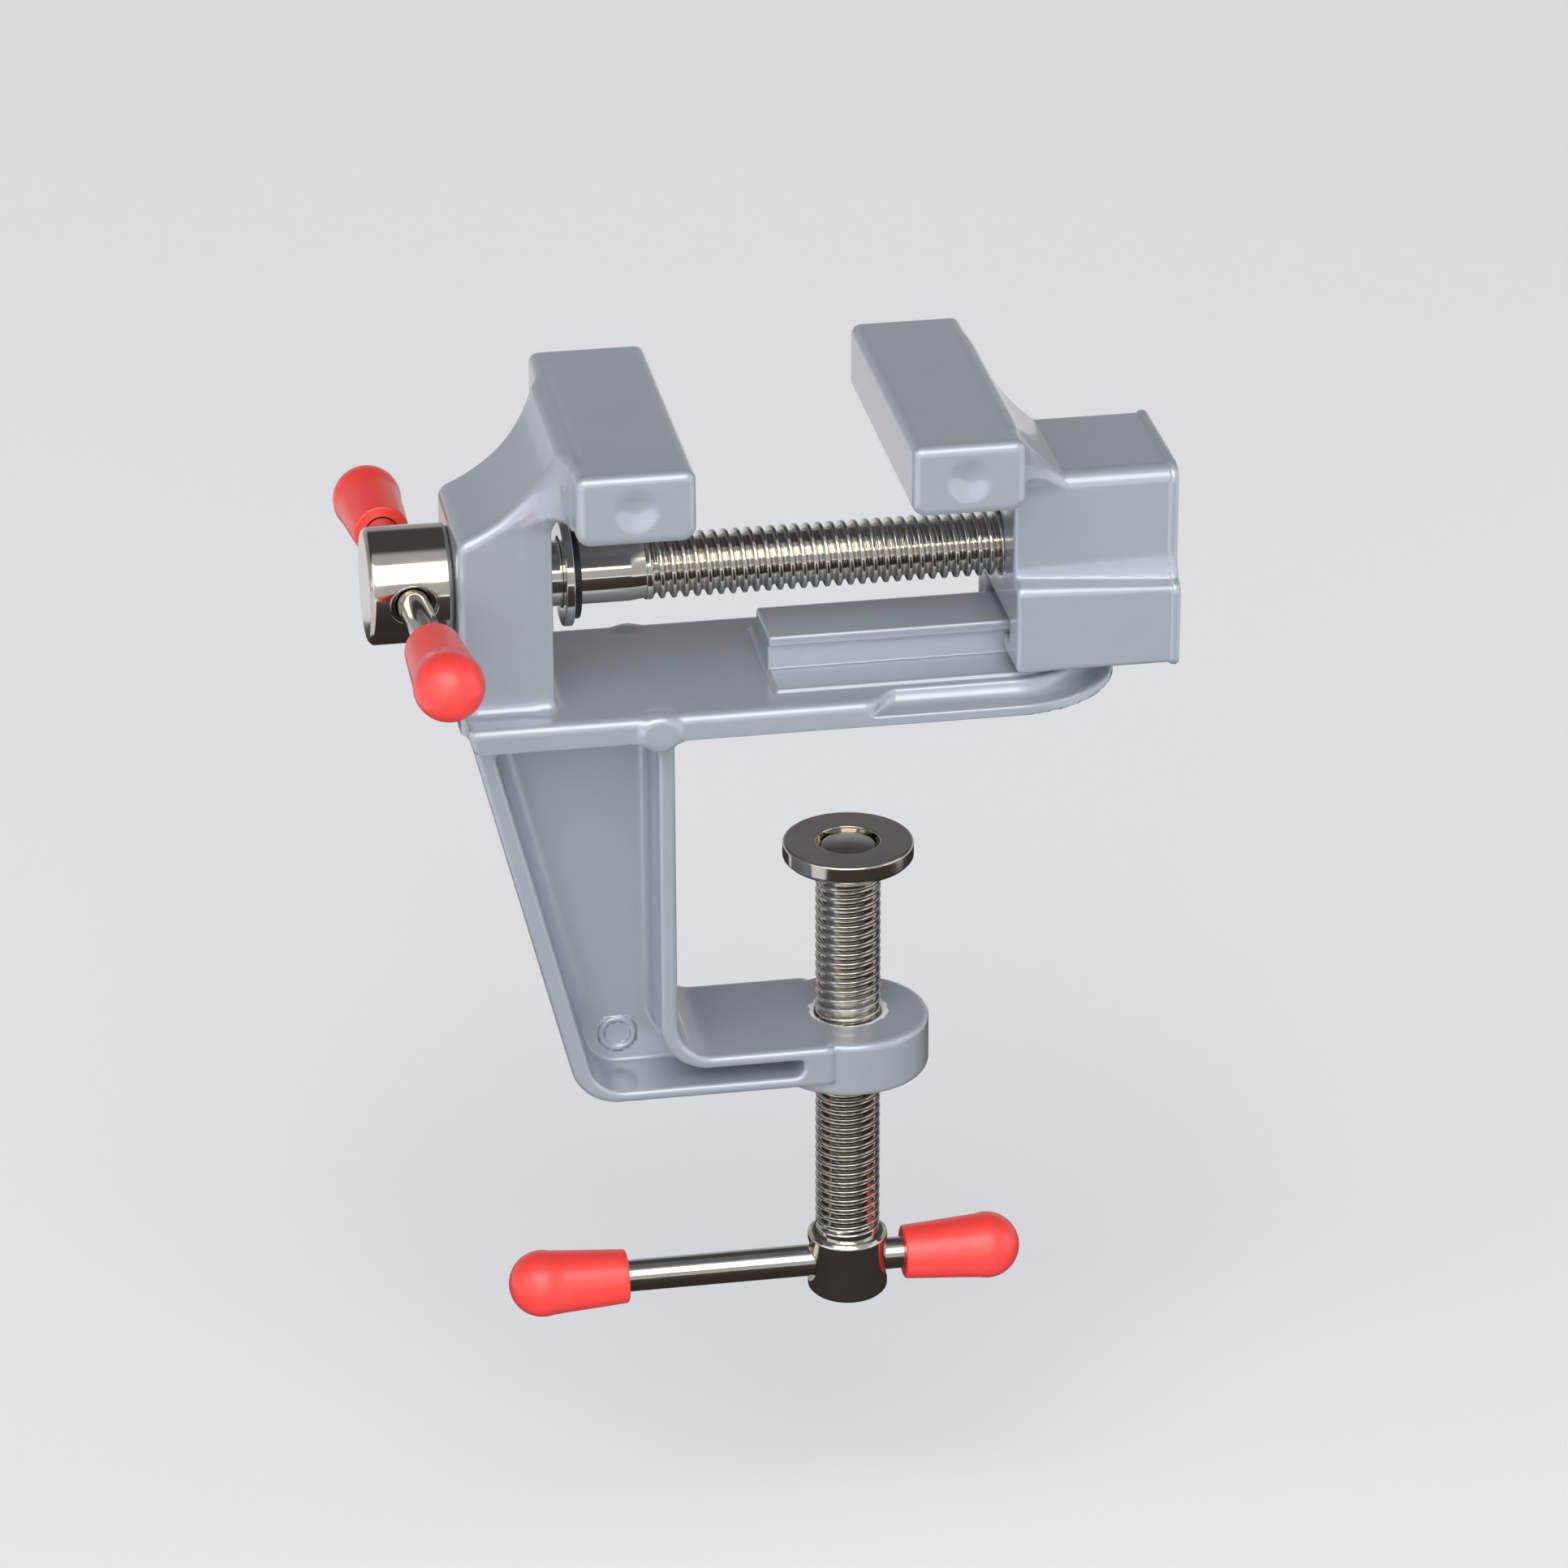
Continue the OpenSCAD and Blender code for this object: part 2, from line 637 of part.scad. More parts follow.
// Clamp screw, whose riveted tip carries the pad
module clamp_screw() color(STEEL) {
    head_r = clamp_head_d / 2;
    thread_r = clamp_screw_d / 2;
    rivet_z0 = pad_top - loose_gap - rivet_t;
    difference() {
        translate([clamp_x, 0, 0]) turned([
            [0, clamp_head_z0],
            [head_r - chamfer, clamp_head_z0],
            [head_r, clamp_head_z0 + chamfer],
            [head_r, clamp_head_z1 - chamfer],
            [head_r - chamfer, clamp_head_z1],
            [thread_r, clamp_head_z1],
            [thread_r, thread_top - chamfer],
            [thread_r - chamfer, thread_top],
            [tip_d / 2, thread_top],
            [tip_d / 2, rivet_z0],
            [rivet_d / 2, rivet_z0],
            [rivet_d / 2 - rivet_t / 2, rivet_z0 + rivet_t],
            [0, rivet_z0 + rivet_t]
        ]);
        along_x(clamp_x, clamp_rod_z) cross_hole(clamp_head_d);
    }
}
// The pad is a shallow dished disc with a well for the riveted tip
module clamp_pad() color(STEEL) {
    well_r = rivet_d / 2 + loose_gap;
    well_z = pad_top - rivet_t - 2 * loose_gap;
    translate([clamp_x, 0, 0]) turned([
        [tip_d / 2 + loose_gap / 2, pad_bottom],
        [well_r + chamfer, pad_bottom],
        [pad_d / 2 - chamfer, pad_bottom + chamfer],
        [pad_d / 2, pad_bottom + 2 * chamfer],
        [pad_d / 2, pad_top],
        [well_r, pad_top],
        [well_r, well_z],
        [tip_d / 2 + loose_gap / 2, well_z]
    ]);
}

module placed() {
    translate([-clamp_x, 0, 0]) children();
}

placed() frame_casting();
placed() moving_jaw();
placed() vise_screw();
placed() thrust_washer();
placed() retaining_clip();
placed() vise_handle_rod();
placed() vise_handle_cap_near();
placed() vise_handle_cap_far();
placed() clamp_screw();
placed() clamp_pad();
placed() clamp_handle_rod();
placed() clamp_handle_cap_left();
placed() clamp_handle_cap_right();
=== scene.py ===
"""Looks of a small clamp-on vise: a lacquered die-cast frame and sliding jaw, nickel-plated steel
screws and handle rods, and soft red caps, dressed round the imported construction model.

Lengths are in millimetres in the shapes and become metres when a mesh is made. Shapes are measured
from the inner face of the C-arm and from the underside of the base."""

import math

import bpy
import numpy as np
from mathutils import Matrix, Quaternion, Vector


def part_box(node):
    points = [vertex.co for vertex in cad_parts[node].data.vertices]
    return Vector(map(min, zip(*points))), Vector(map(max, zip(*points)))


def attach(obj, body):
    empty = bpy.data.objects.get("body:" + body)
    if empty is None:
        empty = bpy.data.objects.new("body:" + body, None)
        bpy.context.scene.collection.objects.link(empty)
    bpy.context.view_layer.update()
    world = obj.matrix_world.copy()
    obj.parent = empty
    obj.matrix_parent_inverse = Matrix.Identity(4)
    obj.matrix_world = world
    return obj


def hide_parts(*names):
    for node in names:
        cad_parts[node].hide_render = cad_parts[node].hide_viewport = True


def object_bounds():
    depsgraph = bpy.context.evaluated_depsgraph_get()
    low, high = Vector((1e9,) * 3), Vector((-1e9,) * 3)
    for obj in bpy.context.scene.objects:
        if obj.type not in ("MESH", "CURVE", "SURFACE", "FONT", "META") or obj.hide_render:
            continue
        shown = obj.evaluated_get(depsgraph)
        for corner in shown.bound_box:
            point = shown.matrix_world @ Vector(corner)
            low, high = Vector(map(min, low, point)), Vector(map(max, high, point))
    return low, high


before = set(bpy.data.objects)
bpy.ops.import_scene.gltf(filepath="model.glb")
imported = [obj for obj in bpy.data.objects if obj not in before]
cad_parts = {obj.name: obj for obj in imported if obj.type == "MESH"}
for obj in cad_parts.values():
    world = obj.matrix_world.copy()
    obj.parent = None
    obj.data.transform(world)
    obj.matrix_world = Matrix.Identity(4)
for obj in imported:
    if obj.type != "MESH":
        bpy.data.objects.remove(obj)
cad_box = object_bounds()

MM = 0.001
scene = bpy.context.scene
scene.view_settings.view_transform = "Standard"


# Studio: a pale paper floor under the hanging vise, and soft lamps as for a catalogue picture.
# The wide front lamp hangs above the camera and gives each rounded upper edge its bright line. The
# fills light the upright faces in front and behind, and no gloss mirrors them.
def linear(code):
    """A colour written as sRGB hex, as linear red, green, blue and an alpha of one."""
    parts = [int(code[i : i + 2], 16) / 255 for i in (1, 3, 5)]
    parts = [c / 12.92 if c <= 0.04045 else ((c + 0.055) / 1.055) ** 2.4 for c in parts]
    return (*parts, 1.0)


def node(tree, kind, settings=(), links=()):
    """Adds one node: settings fill its sockets or its own options, links join its sockets."""
    made = tree.nodes.new(kind)
    for name, value in dict(settings).items():
        if isinstance(name, int) or name in made.inputs:
            made.inputs[name].default_value = value
        else:
            setattr(made, name, value)
    for name, (source, output) in dict(links).items():
        tree.links.new(source.outputs[output], made.inputs[name])
    return made


def new_tree(datablock):
    """The emptied node tree of a material, world or lamp."""
    datablock.use_nodes = True
    datablock.node_tree.nodes.clear()
    return datablock.node_tree


def finished_material(name, tree_maker):
    """A material whose nodes the given function adds; that function returns the shader."""
    material = bpy.data.materials.new(name)
    tree = new_tree(material)
    shader = tree_maker(tree)
    node(tree, "ShaderNodeOutputMaterial", links={"Surface": (shader, 0)})
    return material


camera_place = Vector((-128.49, -703.28, 324.20)) * MM
camera_target = Vector((-7.77, 0.0, -12.98)) * MM
camera_roll = math.radians(-0.18)

camera_data = bpy.data.cameras.new("camera")
camera_data.lens = 152.06
camera_data.sensor_width = 36.0
camera_data.clip_start = 0.01
camera = bpy.data.objects.new("camera", camera_data)
scene.collection.objects.link(camera)
camera.location = camera_place
camera.rotation_mode = "QUATERNION"
camera.rotation_quaternion = (camera_target - camera_place).to_track_quat("-Z", "Y") @ Quaternion(
    (0, 0, 1), camera_roll
)
scene.camera = camera

floor_gap = 40
floor_half = 3.0
floor_height = cad_box[0].z - floor_gap * MM
floor_mesh = bpy.data.meshes.new("studio_floor")
floor_corners = ((-floor_half, -floor_half), (floor_half, -floor_half))
floor_corners += ((floor_half, floor_half), (-floor_half, floor_half))
floor_mesh.from_pydata([(x, y, floor_height) for x, y in floor_corners], [], [(0, 1, 2, 3)])
studio_floor = bpy.data.objects.new("studio_floor", floor_mesh)
scene.collection.objects.link(studio_floor)


def floor_nodes(tree):
    """Matt pale paper, lifted a little towards white where the camera or a gloss sees it."""
    ray = node(tree, "ShaderNodeLightPath")
    seen = node(
        tree,
        "ShaderNodeMath",
        {"operation": "MAXIMUM"},
        {0: (ray, "Is Camera Ray"), 1: (ray, "Is Glossy Ray")},
    )
    lift = node(tree, "ShaderNodeMath", {"operation": "MULTIPLY", 1: 0.12}, {0: (seen, 0)})
    return node(
        tree,
        "ShaderNodeBsdfPrincipled",
        {
            "Base Color": linear("#E4E6E9"),
            "Roughness": 1.0,
            "Specular IOR Level": 0.0,
            "Emission Color": linear("#F2F4F7"),
        },
        {"Emission Strength": (lift, 0)},
    )


floor_mesh.materials.append(finished_material("pale_paper_floor", floor_nodes))

flag_corners = ((-0.20, -1.2), (0.26, -1.2), (0.20, 0.3), (-0.14, 0.3))
flag_mesh = bpy.data.meshes.new("black_flag")
flag_mesh.from_pydata([(x, y, floor_height + MM) for x, y in flag_corners], [], [(0, 1, 2, 3)])
black_flag = bpy.data.objects.new("black_flag", flag_mesh)
scene.collection.objects.link(black_flag)
black_flag.visible_camera = False
black_flag.visible_diffuse = False
black_flag.visible_shadow = False


def flag_nodes(tree):
    """Black felt: almost no light comes back from it. Only gloss sees it, so it gives the plated
    steel its dark lower bands and leaves the floor pale."""
    return node(
        tree, "ShaderNodeBsdfPrincipled", {"Base Color": linear("#37302D"), "Roughness": 1.0}
    )


flag_mesh.materials.append(finished_material("black_felt_flag", flag_nodes))

world = bpy.data.worlds.new("studio")
scene.world = world
world_tree = new_tree(world)
sky = node(world_tree, "ShaderNodeTexCoord")
heading = node(world_tree, "ShaderNodeSeparateXYZ", links={"Vector": (sky, "Generated")})


def smooth_range(value, low, high, first, last):
    """One of the sky's three directions, turned into a level that changes smoothly."""
    return node(
        world_tree,
        "ShaderNodeMapRange",
        {
            "interpolation_type": "SMOOTHSTEP",
            "From Min": low,
            "From Max": high,
            "To Min": first,
            "To Max": last,
        },
        {"Value": (heading, value)},
    )


front_level = smooth_range("Y", -0.6, 0.4, 0.62, 0.45)
behind = smooth_range("Y", -0.16, 0.04, 0.0, 1.0)
above = smooth_range("Z", 0.30, 0.50, 0.0, 1.0)
dark_part = node(
    world_tree, "ShaderNodeMath", {"operation": "MULTIPLY"}, {0: (behind, 0), 1: (above, 0)}
)
level = node(
    world_tree,
    "ShaderNodeMix",
    {"data_type": "FLOAT", 3: 0.08},
    {0: (dark_part, 0), 2: (front_level, 0)},
)
sky_ray = node(world_tree, "ShaderNodeLightPath")
shown_level = node(
    world_tree,
    "ShaderNodeMix",
    {"data_type": "FLOAT", 3: 0.82},
    {0: (sky_ray, "Is Camera Ray"), 2: (level, 0)},
)
world_light = node(
    world_tree, "ShaderNodeBackground", {"Color": linear("#F4F6F9")}, {"Strength": (shown_level, 0)}
)
node(world_tree, "ShaderNodeOutputWorld", links={"Surface": (world_light, 0)})


def soft_lamp(name, place, aim, width, height, watts, colour, mirrored=True):
    """A rectangular lamp at a place, turned to shine at a point, and seen in gloss if mirrored."""
    data = bpy.data.lights.new(name, "AREA")
    data.shape = "RECTANGLE"
    data.size = width
    data.size_y = height
    data.energy = watts
    data.color = linear(colour)[:3]
    lamp = bpy.data.objects.new(name, data)
    scene.collection.objects.link(lamp)
    lamp.location = place
    lamp.rotation_mode = "QUATERNION"
    lamp.rotation_quaternion = (Vector(aim) - Vector(place)).to_track_quat("-Z", "Y")
    lamp.visible_camera = False
    lamp.visible_glossy = mirrored


lamp_aim = (-0.01, 0.0, -0.02)
soft_lamp("front_lamp", (-0.35, -1.32, 1.52), lamp_aim, 2.20, 1.10, 21.0, "#FFFDFA")
soft_lamp("strip_lamp", (-0.40, -1.78, 0.98), lamp_aim, 1.60, 0.26, 4.5, "#FFFDFA")
soft_lamp("low_front_fill", (-0.40, -1.90, 0.40), lamp_aim, 1.50, 0.80, 17.0, "#FBFCFF", False)
soft_lamp("left_lamp", (-2.00, -0.80, 0.78), lamp_aim, 1.60, 1.50, 6.5, "#F4F8FF")
soft_lamp("right_lamp", (2.00, -0.60, 0.78), lamp_aim, 1.60, 1.50, 5.5, "#FFF8F0")
soft_lamp("back_fill", (0.30, 2.00, 0.40), lamp_aim, 1.50, 0.80, 12.0, "#FFFDFA", False)


# Frame casting: one die casting in zinc or aluminium alloy, with the fixed jaw on a leaning neck,
# a flat base with a slide rail, and an I-section C-arm with a tapped boss. It comes from the die
# with every edge rounded and every corner filled, and is sprayed with silver-grey lacquer.
def slab(v, low, high):
    """Distance outside the layer between two parallel planes, negative within."""
    return np.abs(v - (low + high) / 2) - (high - low) / 2


def merge(a, b, r):
    """Two solids joined, with a fillet of radius r run along the corner between them."""
    return np.maximum(r, np.minimum(a, b)) - np.hypot(np.maximum(r - a, 0), np.maximum(r - b, 0))


def common(a, b, r):
    """What two solids share, with the edge between their faces rounded to radius r."""
    return np.minimum(-r, np.maximum(a, b)) + np.hypot(np.maximum(r + a, 0), np.maximum(r + b, 0))


def ramp(t):
    """Rises smoothly from zero to one as t goes from zero to one."""
    t = np.clip(t, 0, 1)
    return t * t * (3 - 2 * t)


def rounded_outline(corners):
    """A closed outline from corners (a, b, radius): the sharp points, and for each the two tangent
    points and the centre of the arc that rounds it."""
    sharp = np.array([c[:2] for c in corners], float)
    radii = np.array([c[2] for c in corners], float)
    back = np.roll(sharp, 1, 0) - sharp
    ahead = np.roll(sharp, -1, 0) - sharp
    back /= np.linalg.norm(back, axis=1)[:, None]
    ahead /= np.linalg.norm(ahead, axis=1)[:, None]
    half = np.arccos(np.clip((back * ahead).sum(1), -1, 1)) / 2
    run = (radii / np.tan(half))[:, None]
    middle = back + ahead
    middle /= np.linalg.norm(middle, axis=1)[:, None]
    centres = sharp + middle * (radii / np.sin(half))[:, None]
    return sharp, sharp + back * run, sharp + ahead * run, centres, radii


def outline_distance(outline, u, v):
    """Signed distance from points (u, v) to a rounded outline, negative inside it. The least of the
    distances to its straight runs and arcs; the sign counts how often a ray crosses the sharp
    outline, and turns over between each arc and its sharp corner."""
    sharp, starts, stops, centres, radii = outline
    shape = np.broadcast(u, v).shape
    best = np.full(shape, np.inf)
    inside = np.zeros(shape, bool)
    for i in range(len(sharp)):
        j = (i + 1) % len(sharp)
        run = starts[j] - stops[i]
        share = ((u - stops[i][0]) * run[0] + (v - stops[i][1]) * run[1]) / max(run @ run, 1e-12)
        share = np.clip(share, 0, 1)
        best = np.minimum(
            best, np.hypot(u - stops[i][0] - share * run[0], v - stops[i][1] - share * run[1])
        )
        (a0, b0), (a1, b1) = sharp[i], sharp[j]
        if b0 != b1:
            inside = inside ^ (((b0 > v) != (b1 > v)) & (u < (a1 - a0) * (v - b0) / (b1 - b0) + a0))
        if radii[i] > 0:
            first, last = starts[i] - centres[i], stops[i] - centres[i]
            middle = (first + last) / np.linalg.norm(first + last)
            du, dv = u - centres[i][0], v - centres[i][1]
            away = np.hypot(du, dv)
            fan = du * middle[0] + dv * middle[1] >= away * (middle @ first) / radii[i]
            best = np.where(fan, np.minimum(best, np.abs(away - radii[i])), best)
            before = du * first[0] + dv * first[1] <= radii[i] ** 2
            after = du * last[0] + dv * last[1] <= radii[i] ** 2
            inside = inside ^ (fan & (away > radii[i]) & before & after)
    return np.where(inside, -best, best)


def field_normals(field, points):
    """Unit normals of a field at points, from its change over short steps along each axis."""
    step = 0.01
    slope = np.empty_like(points)
    for k in range(3):
        ahead, behind = points.copy(), points.copy()
        ahead[:, k] += step
        behind[:, k] -= step
        slope[:, k] = (field(*ahead.T) - field(*behind.T)) / (2 * step)
    size = np.maximum(np.linalg.norm(slope, axis=1), 1e-9)
    return slope / size[:, None], size


def cast_skin(field, low, high, cell):
    """The skin of a solid given as a field that is negative inside it. Space is cut into cells.
    Each cell that the skin crosses gets one point, the mean of the crossings on its edges, and
    each crossed edge of the grid gets a face between the four cells round it. The points then
    slide along the field's slope on to the true surface, which also gives their normals."""
    axes = [np.arange(a - 1.5 * cell, b + 2 * cell, cell) for a, b in zip(low, high)]
    value = field(axes[0][:, None, None], axes[1][None, :, None], axes[2][None, None, :])
    value = value.astype(np.float32)
    solid = value < 0
    n = [len(a) - 1 for a in axes]

    def corner(array, i, j, k):
        return array[i : n[0] + i, j : n[1] + j, k : n[2] + k]

    ends = [(i, j, k) for i in (0, 1) for j in (0, 1) for k in (0, 1)]
    count = sum(corner(solid, *end).astype(np.int8) for end in ends)
    crossed = (count > 0) & (count < 8)
    number = np.full(crossed.shape, -1, np.int64)
    number[crossed] = np.arange(crossed.sum())
    cells = np.stack(np.nonzero(crossed), 1)
    total = np.zeros((len(cells), 3))
    hits = np.zeros(len(cells))
    for k in range(3):
        for p in (0, 1):
            for q in (0, 1):
                offset = np.zeros(3, int)
                offset[(k + 1) % 3], offset[(k + 2) % 3] = p, q
                first = cells + offset
                last = first.copy()
                last[:, k] += 1
                v0, v1 = value[tuple(first.T)].astype(float), value[tuple(last.T)].astype(float)
                hit = (v0 < 0) != (v1 < 0)
                share = np.where(hit, v0 / np.where(hit, v0 - v1, 1), 0)
                place = first.astype(float)
                place[:, k] += share
                total += place * hit[:, None]
                hits += hit
    start = np.array([a[0] for a in axes])
    points = start + total / hits[:, None] * cell
    faces = []
    for k in range(3):
        b, c = (k + 1) % 3, (k + 2) % 3
        first = [slice(1, -1)] * 3
        last = [slice(1, -1)] * 3
        first[k], last[k] = slice(0, -1), slice(1, None)
        out = solid[tuple(first)] & ~solid[tuple(last)]
        back = ~solid[tuple(first)] & solid[tuple(last)]
        for change, order in ((out, (0, 1, 2, 3)), (back, (3, 2, 1, 0))):
            at = np.stack(np.nonzero(change), 1)
            at[:, b] += 1
            at[:, c] += 1
            ring = []
            for p, q in ((-1, -1), (0, -1), (0, 0), (-1, 0)):
                cell_at = at.copy()
                cell_at[:, b] += p
                cell_at[:, c] += q
                ring.append(number[tuple(cell_at.T)])
            faces.append(np.stack([ring[i] for i in order], 1))
    faces = np.concatenate(faces)
    for _ in range(2):
        normals, slope = field_normals(field, points)
        shift = np.clip(field(*points.T) / slope, -cell / 2, cell / 2)
        points = points - normals * shift[:, None]
    normals, slope = field_normals(field, points)
    return points, faces, normals


def make_piece(name, parts, material, shift):
    """One object from parts (points, faces, normals) in millimetres, moved by shift."""
    points = np.concatenate([p[0] for p in parts]) + shift
    normals = np.concatenate([p[2] for p in parts])
    starts = np.cumsum([0] + [len(p[0]) for p in parts[:-1]])
    faces = [f for start, p in zip(starts, parts) for f in face_lists(p[1], start)]
    mesh = bpy.data.meshes.new(name)
    mesh.from_pydata((points * MM).tolist(), [], faces)
    mesh.update()
    mesh.polygons.foreach_set("use_smooth", np.ones(len(mesh.polygons), bool))
    mesh.normals_split_custom_set_from_vertices(normals.tolist())
    mesh.materials.append(material)
    piece = bpy.data.objects.new(name, mesh)
    scene.collection.objects.link(piece)
    return piece


def face_lists(group, start):
    """Faces as lists of point numbers counted from start; a group is one array or several."""
    arrays = group if isinstance(group, list) else [group]
    return [f for a in arrays for f in (a + start).tolist()]


base_reach = 54.0
base_half = 13.8
base_end_x = base_reach - base_half
flange_height = 1.4
deck_height = 3.3
deck_inset = 3.2
wide_deck_x = 22.0
deck_step = 4.0
lip_round = 1.15
track_x = 12.0
track_half = 9.6
track_height = 3.8
rail_end_x = 50.16
rail_half = 4.5
rail_web_half = 3.6
rail_neck = 6.9
rail_top = 8.3
lug_x = -2.3
lug_height = 1.0
lug_round = 2.25

arm_top_x = -24.0
arm_foot_x = -11.7
arm_foot = -49.0
throat_floor = -43.8
boss_foot = -50.8
boss_x = 22.3
arm_half = 9.8
web_half = 2.0
outer_rim = 2.2
inner_rim = 2.0
arm_flange = 1.5
pocket_end_x = 15.24
heel_round = 6.0
throat_round = 4.5
pocket_draft = 0.04
pin_mark_x, pin_mark_z, pin_mark_half = -6.3, -43.4, 1.95
tapped_half = 4.06
screw_height = 16.5
screw_bore_half = 3.96

pedestal_x0 = -25.0
pedestal_x1 = -14.0
pedestal_half = 9.5
lean_round = 19.8
lean_rise = 6.94
fixed_flare = (19.16, 15.5, 6.0, 3.0, 1.5)

jaw_height = 8.6
jaw_half = 20.25
jaw_end_round = 1.1
fixed_jaw_x = (-12.6, 1.2)
fixed_jaw_top = 36.5
dimple_ball = 4.33
dimple_depth = 0.6
casting_cell = 0.425


def arm_edge(z):
    """Where the arm's slanting outer edge lies at a height."""
    return arm_top_x + (arm_foot_x - arm_top_x) * z / arm_foot


def jaw_bar(x, y, z, ends, top):
    """A jaw's bar: its section with rounded edges, cut to length with rounded ends, and the dish
    that the ejector leaves in each end."""
    low = top - jaw_height
    section = rounded_outline(
        [(ends[0], low, 1.7), (ends[1], low, 1.7), (ends[1], top, 1.2), (ends[0], top, 1.2)]
    )
    bar = common(outline_distance(section, x, z), np.abs(y) - jaw_half, jaw_end_round)
    middle = (ends[0] + ends[1]) / 2
    beyond = np.abs(y) - jaw_half - dimple_ball + dimple_depth
    ball = np.sqrt((x - middle) ** 2 + beyond**2 + (z - top + jaw_height / 2) ** 2) - dimple_ball
    return common(bar, -ball, 0.4)


def neck(x, y, z, bar_x, top, side, inner, reach, flare_half, flare_round, cove_round, edge_round):
    """A neck that carries a bar: hollowed behind by a big cylinder across the jaws, widened in plan
    by two flares, with a cove under the bar on each side; inner is its outline towards the work."""
    back = lean_round - np.hypot((x - bar_x) * side - reach, z - top - lean_rise)
    back = common(back, z - top + 0.3, 0.6)
    flare = [
        (bar_x + side * 60, pedestal_half, 0),
        (bar_x, pedestal_half, flare_round),
        (bar_x, flare_half, 0),
        (bar_x - side * 3, flare_half, 0),
    ]
    flare = rounded_outline(flare + [(a, -b, r) for a, b, r in reversed(flare)])
    low = top - jaw_height + 0.3
    cove = [
        (pedestal_half, -60, 0),
        (pedestal_half, low, cove_round),
        (jaw_half, low, 0),
        (jaw_half, top + 9, 0),
    ]
    cove = rounded_outline(cove + [(-a, b, r) for a, b, r in reversed(cove)])
    body = common(back, outline_distance(flare, x, y), edge_round)
    body = common(body, outline_distance(cove, y, z), 0.3)
    return common(body, outline_distance(inner, x, z), 0.6)


pedestal_inner = rounded_outline(
    [
        (pedestal_x0 - 9, -9, 0),
        (pedestal_x0 - 9, 60, 0),
        (fixed_jaw_x[0] + 1.5, 60, 0),
        (fixed_jaw_x[0] + 1.5, fixed_jaw_top - jaw_height + 0.3, 0),
        (pedestal_x1, fixed_jaw_top - jaw_height + 0.3, fixed_flare[3]),
        (pedestal_x1, -9, 0),
    ]
)

arm_side = rounded_outline(
    [
        (arm_edge(2.0), 2.0, 0),
        (arm_edge(arm_foot), arm_foot, heel_round),
        (boss_x, arm_foot, 0),
        (boss_x, throat_floor, 0),
        (0, throat_floor, throat_round),
        (0, 2.0, 0),
    ]
)
pocket_heel_x = arm_edge(arm_foot + arm_flange) + outer_rim
pocket_side = rounded_outline(
    [
        (arm_edge(-arm_flange) + outer_rim, -arm_flange, 1.2),
        (-inner_rim, -arm_flange, 2.6),
        (-inner_rim, throat_floor - arm_flange, throat_round + arm_flange),
        (pocket_end_x, throat_floor - arm_flange, 0.5),
        (pocket_end_x, arm_foot + arm_flange, 1.2),
        (pocket_heel_x, arm_foot + arm_flange, heel_round - arm_flange),
    ]
)


def frame_base(x, y, z):
    """The base: a thin flange, a thicker deck that steps in, the track and the T-rail on it, and a
    round lug on each side where an ejector pushed."""
    end = np.hypot(np.maximum(x - base_end_x, 0), y)
    flange = common(end - base_half, z - flange_height, 0.35)
    past = ramp((x - wide_deck_x) / deck_step)
    deck = common(end - base_half + deck_inset * past, z - deck_height, lip_round - 0.75 * past)
    base = common(merge(flange, deck, 0.02 + 1.88 * past), -z, 0.25)
    slant = -((x - arm_top_x) * deck_height + z) / math.hypot(deck_height, 1)
    base = common(base, slant, 0.9)
    track = common(common(end - track_half, track_x - x, 0.3), slab(z, 0.5, track_height), 0.3)
    base = merge(base, track, 0.3)
    across = np.abs(y)
    rail = merge(
        common(across - rail_half, slab(z, rail_neck, rail_top), 0.3),
        common(across - rail_web_half, slab(z, 1.5, rail_top - 0.3), 0.1),
        0.15,
    )
    rail = common(rail, slab(x, track_x, rail_end_x), 0.3)
    base = merge(base, rail, 0.25)
    lug = np.hypot(x - lug_x, z - lug_height) - lug_round
    lug = common(lug, slab(across, 11.6, base_half + 0.2), 0.6)
    return merge(base, lug, 0.9)


def frame_arm(x, y, z):
    """The C-arm: an I-section whose web is sunk between two rims, and the boss at its foot."""
    across = np.abs(y)
    arm = common(outline_distance(arm_side, x, z), across - arm_half, 0.8)
    arm = common(arm, x - boss_x + 2.8, 1.5)
    boss = np.hypot(x - boss_x, y) - arm_half
    boss = common(boss, slab(z, boss_foot, throat_floor), 0.8)
    arm = np.minimum(arm, boss)
    pocket = outline_distance(pocket_side, x, z) + pocket_draft * (arm_half - across)
    root = 1.3 + 1.3 * ramp((arm_edge(z) / 2 - x) / 3)
    root = 0.5 + (root - 0.5) * ramp((z - arm_foot - 5) / 6)
    pocket = common(pocket, web_half - across, root)
    pin_mark = np.hypot(x - pin_mark_x, z - pin_mark_z) - pin_mark_half
    pin_mark = np.hypot(pin_mark, y + web_half) - 0.4
    return common(arm, -np.maximum(pocket, -pin_mark), 0.55)


def frame_field(x, y, z):
    """The whole frame casting."""
    arm = frame_arm(x, y, z)
    foot_fillet = 0.02 + 0.8 * ramp((x - arm_top_x - 1) / 3)
    body = merge(frame_base(x, y, z), arm, foot_fillet)
    pedestal = neck(x, y, z, fixed_jaw_x[0], fixed_jaw_top, -1, pedestal_inner, *fixed_flare)
    pedestal = common(pedestal, pedestal_x0 - x, 1.0)
    pedestal = common(pedestal, 0.5 - z, 0.1)
    body = merge(body, pedestal, 0.02 + 1.4 * ramp((x - pedestal_x0) / 2))
    body = merge(body, jaw_bar(x, y, z, fixed_jaw_x, fixed_jaw_top), 0.7)
    bore = np.maximum(np.hypot(y, z - screw_height) - screw_bore_half, x)
    body = common(body, -bore, 0.3)
    tapped = np.maximum(np.hypot(x - boss_x, y) - tapped_half, z + 30)
    return common(body, -tapped, 0.3)


